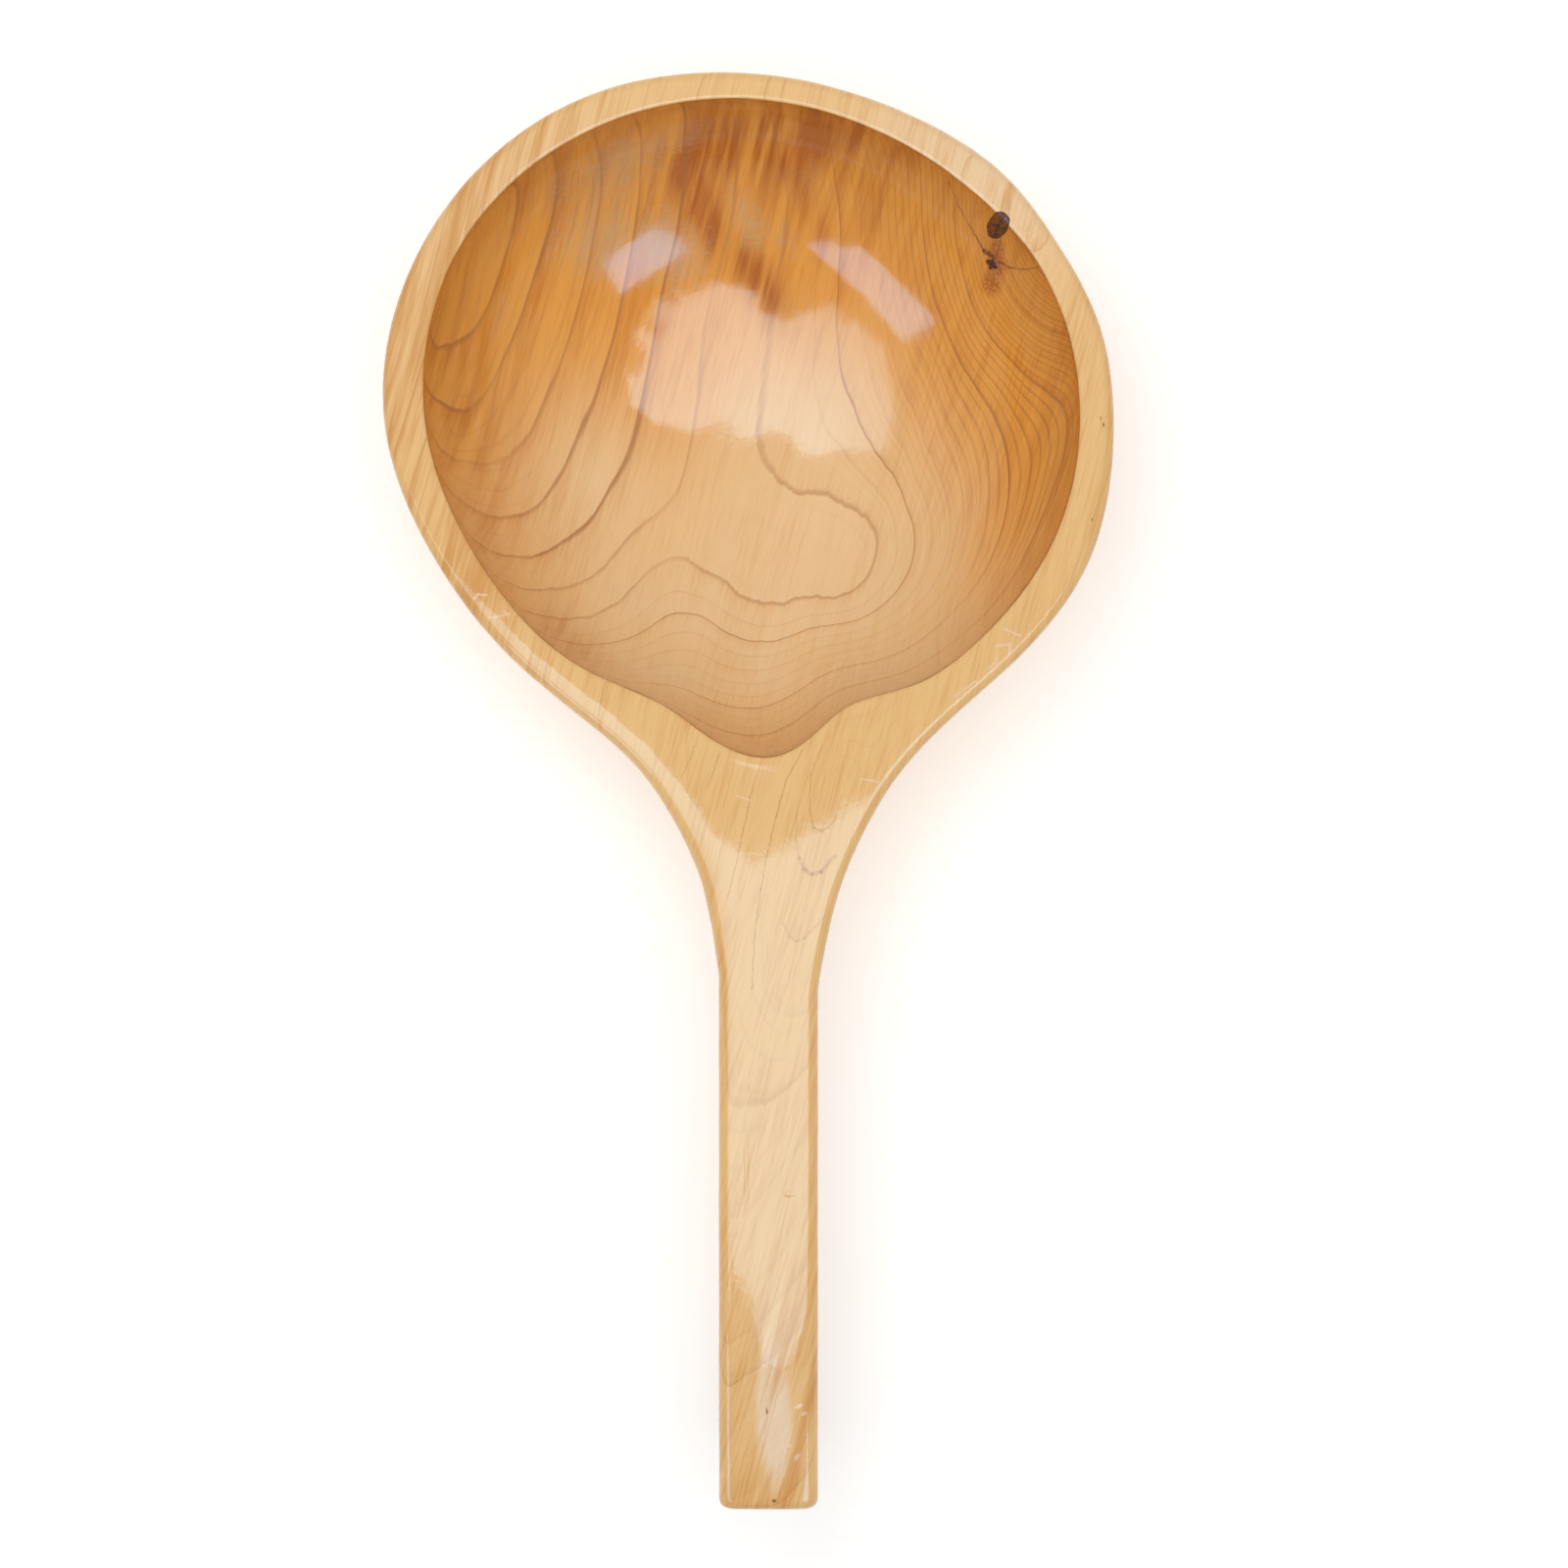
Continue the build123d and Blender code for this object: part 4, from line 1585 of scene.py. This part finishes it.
@dataclass(frozen=True)
class KnotWood:
    """The dark, dead wood of a branch knot, ringed, cracked and lacquered over.

    Its middle is a plan place in millimetres. A range is where something starts and is full,
    and a depth is how strongly a colour covers the ones below it.
    """

    name: str
    middle: tuple
    heart: tuple
    bark: tuple
    shadow: tuple
    top: tuple
    crack: tuple = (0.012, 0.005, 0.003)
    fleck: tuple = (0.42, 0.14, 0.09)
    grit_noise: Noise = Noise(2400, 4, 0.7)
    cloud_noise: Noise = Noise(850, 3, 0.6)
    fleck_noise: Noise = Noise(1500)
    ring_count: float = 4.0
    ring_sway: float = 1.6
    heart_range: tuple = (0.86, 1.1)
    shadow_range: tuple = (-0.6, 1.2)
    fleck_range: tuple = (0.54, 0.64)
    edge_range: tuple = (0.75, 1.0)
    top_levels: tuple = (64.4, 64.8)
    crack_range: tuple = (0.0, 0.45)
    heart_parts: tuple = (1.1, 0.5, 0.3)
    shadow_slant: float = 0.7
    shadow_sway: float = 4.0
    shadow_depth: float = 0.8
    fleck_depth: float = 0.5
    edge_depth: float = 0.7
    top_depth: tuple = (0.35, 0.75)
    roughness: tuple = (0.16, 0.36)
    relief: float = 0.06

    def build(self) -> bpy.types.Material:
        """Makes the material."""
        shop = Workshop(self.name)
        reach = shop.read("reach")
        across, along, height = shop.plan_place()
        grit = self.grit_noise.over(shop, shop.place())
        cloud = self.cloud_noise.over(shop, shop.place())
        flecks = self.fleck_noise.over(shop, shop.place())
        ring = (reach * self.ring_count + cloud * self.ring_sway).part()
        cloud_part, grit_part, ring_part = self.heart_parts
        mixed = cloud * cloud_part + grit * grit_part + ring * ring_part
        tone = shop.rise(mixed, *self.heart_range)
        right, ahead = across - self.middle[0], along - self.middle[1]
        slant = (right - ahead) * self.shadow_slant + (cloud - NOISE_MIDDLE) * self.shadow_sway
        layers = (
            (shop.rise(slant, *self.shadow_range) * self.shadow_depth, self.shadow),
            (shop.rise(flecks, *self.fleck_range) * self.fleck_depth, self.fleck),
            (shop.rise(reach, *self.edge_range) * self.edge_depth, self.bark),
            (shop.rise(height, *self.top_levels) * tone.between(*self.top_depth), self.top),
            (shop.rise(shop.read("crack"), *self.crack_range), self.crack),
        )
        wood = shop.blend(tone, self.bark, self.heart)
        for strength, colour in layers:
            wood = shop.blend(strength, wood, colour)
        shop.feed(shop.shader.inputs["Base Color"], wood)
        shop.feed(shop.shader.inputs["Roughness"], grit.between(*self.roughness))
        shop.emboss(grit + cloud, self.relief)
        return shop.material


@dataclass(frozen=True)
class PaleFloor:
    """A matte, nearly white studio floor, overexposed a little."""

    white: tuple = (0.93, 0.93, 0.93)
    matte: float = 0.9
    glow: float = 0.32

    def build(self) -> bpy.types.Material:
        """Makes the material."""
        shop = Workshop("veiled_floor")
        shop.feed(shop.shader.inputs["Base Color"], self.white)
        shop.shader.inputs["Roughness"].default_value = self.matte
        shop.feed(shop.shader.inputs["Emission Color"], self.white)
        shop.shader.inputs["Emission Strength"].default_value = self.glow
        return shop.material


@dataclass(frozen=True)
class SoftLight:
    """A soft light that hangs level over the dipper. Lengths are in metres.

    A reflected light is seen in the lacquer only; the others light the wood and the floor.
    """

    name: str
    place: tuple
    width: float
    length: float
    turn: float
    radiance: float
    reflected: bool = True
    colour: tuple = (0.52, 0.84, 1.0)

    def build(self) -> bpy.types.Object:
        """Hangs the light."""
        lamp = bpy.data.lights.new(self.name, "AREA")
        lamp.shape = "RECTANGLE"
        lamp.size = self.width
        lamp.size_y = self.length
        lamp.energy = self.radiance * math.pi * self.width * self.length
        lamp.color = self.colour
        holder = bpy.data.objects.new(self.name, lamp)
        holder.location = self.place
        holder.rotation_euler = (0, 0, math.radians(self.turn))
        holder.visible_glossy = self.reflected
        holder.visible_diffuse = not self.reflected
        bpy.context.scene.collection.objects.link(holder)
        return holder


@dataclass(frozen=True)
class LightPanel:
    """A level panel of light with bent edges, made of narrow lights side by side.

    Its near and far edges are plan points in metres, from the left to the right. The
    radiance is given at plan places too.
    """

    name: str
    height: float
    near: tuple
    far: tuple
    radiance: tuple
    strips: int = 16

    def build(self) -> None:
        """Hangs the panel's lights."""
        near, far, glow = np.array(self.near), np.array(self.far), np.array(self.radiance)
        start, end = self.near[0][0], self.near[-1][0]
        width = (end - start) / self.strips
        for index in range(self.strips):
            across = start + width * (index + 0.5)
            front = float(np.interp(across, near[:, 0], near[:, 1]))
            back = float(np.interp(across, far[:, 0], far[:, 1]))
            radiance = float(np.interp(across, glow[:, 0], glow[:, 1]))
            place = (across, (front + back) / 2, self.height)
            SoftLight(f"{self.name}_{index}", place, width, front - back, 0, radiance).build()


@dataclass
class Studio:
    """The floor, the soft lights and the overhead camera. Lengths are in metres."""

    floor_size: float = 6.0
    camera_place: tuple = (0.0041, -0.0958, 1.265)
    view_angle: float = 19.5
    floor_cells: int = 8
    air_levels: tuple = (0.05, 0.85)
    horizon_glow: float = 0.34
    zenith_glow: float = 0.26
    overhead: LightPanel = LightPanel(
        "overhead",
        0.665,
        ((-0.335, -0.041), (-0.001, -0.082), (0.275, -0.085)),
        (
            (-0.335, -0.260), (-0.315, -0.328), (-0.235, -0.380), (-0.200, -0.365), (-0.081, -0.303),
            (-0.034, -0.335), (-0.020, -0.395), (0.062, -0.405), (0.168, -0.357), (0.238, -0.232),
            (0.275, -0.135),
        ),
        ((-0.335, 2.3), (-0.04, 4.8), (0.275, 4.8)),
    )
    lights: tuple = (
        SoftLight(
            "right_window", (0.337, -0.643, 0.72), width=0.255, length=0.255, turn=31, radiance=6.2,
            colour=(0.27, 0.59, 1.0),
        ),
        SoftLight(
            "left_window", (-0.472, -0.64, 0.72), width=0.31, length=0.40, turn=35, radiance=5.2,
            colour=(0.27, 0.63, 1.0),
        ),
        SoftLight(
            "ceiling", (0.0, 0.0, 1.7), width=1.8, length=1.8, turn=0, radiance=1.95,
            reflected=False, colour=(1.0, 1.0, 1.0),
        ),
        SoftLight(
            "key", (-0.22, 0.24, 0.85), width=0.5, length=0.4, turn=0, radiance=1.6,
            reflected=False, colour=(1.0, 1.0, 1.0),
        ),
    )

    def build_air(self) -> None:
        """Sets up the even light all round, a little dimmer overhead."""
        world = bpy.data.worlds.new("studio_air")
        world.use_nodes = True
        air = world.node_tree
        upward = air.nodes.new("ShaderNodeSeparateXYZ")
        air.links.new(air.nodes.new("ShaderNodeTexCoord").outputs["Generated"], upward.inputs[0])
        glow = air.nodes.new("ShaderNodeMapRange")
        glow.interpolation_type = "SMOOTHSTEP"
        air.links.new(upward.outputs["Z"], glow.inputs["Value"])
        glow.inputs["From Min"].default_value = self.air_levels[0]
        glow.inputs["From Max"].default_value = self.air_levels[1]
        glow.inputs["To Min"].default_value = self.horizon_glow
        glow.inputs["To Max"].default_value = self.zenith_glow
        background = air.nodes["Background"]
        background.inputs["Color"].default_value = (1, 1, 1, 1)
        air.links.new(glow.outputs[0], background.inputs["Strength"])
        bpy.context.scene.world = world

    def build(self) -> None:
        """Sets up the floor, the world, the lights and the camera."""
        scene = bpy.context.scene
        shape = bmesh.new()
        cells = self.floor_cells
        bmesh.ops.create_grid(shape, x_segments=cells, y_segments=cells, size=self.floor_size / 2)
        floor = mesh_object(shape, "studio_floor")
        floor.data.materials.append(PaleFloor().build())
        self.build_air()
        self.overhead.build()
        for light in self.lights:
            light.build()
        lens = bpy.data.cameras.new("overhead_camera")
        lens.angle = math.radians(self.view_angle)
        camera = bpy.data.objects.new("overhead_camera", lens)
        camera.location = self.camera_place
        scene.collection.objects.link(camera)
        scene.camera = camera
        scene.view_settings.view_transform = "Standard"


def main() -> None:
    """Builds and dresses the dipper, then the studio, and logs the faces of the body and each knot."""
    logging.basicConfig(level=logging.INFO, format="%(message)s")
    body = CarvedBody().build()
    body.data.materials.append(LacqueredWood().build())
    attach(body, "root")
    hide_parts("dipper_body")
    log.info("carved_body: %d faces", len(body.data.polygons))
    surface = BVHTree.FromObject(body, bpy.context.evaluated_depsgraph_get())
    large_knot = BranchKnot(
        name="large_branch_knot",
        node="large_knot",
        slot=Slot.LARGE_KNOT,
        radius=2.85,
        arms=((205, 30, 0.03), (320, 26, 0.04), (80, 25, 0.04)),
        cracks=((48, 0.10, 0.9), (150, 0.08, 0.7), (262, 0.14, 1.1), (330, 0.07, 0.8)),
        crack_depth=0.2,
    )
    small_knot = BranchKnot(
        name="small_branch_knot",
        node="small_knot",
        slot=Slot.SMALL_KNOT,
        radius=1.0,
        arms=((142, 24, 1.0), (322, 26, 0.85), (250, 18, 0.35), (75, 20, 0.3)),
        cracks=((142, 0.2, 1.8), (322, 0.2, 1.6), (250, 0.15, 1.3), (75, 0.12, 1.2)),
        crack_depth=0.2,
    )
    knots = (
        (
            large_knot,
            KnotWood(
                name="large_knot_wood",
                middle=(60.8, 51.3),
                heart=(0.21, 0.036, 0.020),
                bark=(0.016, 0.004, 0.004),
                shadow=(0.016, 0.012, 0.007),
                top=(0.24, 0.085, 0.075),
            ),
        ),
        (
            small_knot,
            KnotWood(
                name="small_knot_wood",
                middle=(59.1, 41.6),
                heart=(0.20, 0.045, 0.022),
                bark=(0.055, 0.012, 0.010),
                shadow=(0.030, 0.010, 0.010),
                top=(0.20, 0.045, 0.022),
            ),
        ),
    )
    for knot, finish in knots:
        made = knot.build(surface)
        made.data.materials.append(finish.build())
        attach(made, "root")
        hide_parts(knot.node)
        log.info("%s: %d faces", made.name, len(made.data.polygons))
    Studio().build()


if __name__ == "__main__":
    main()
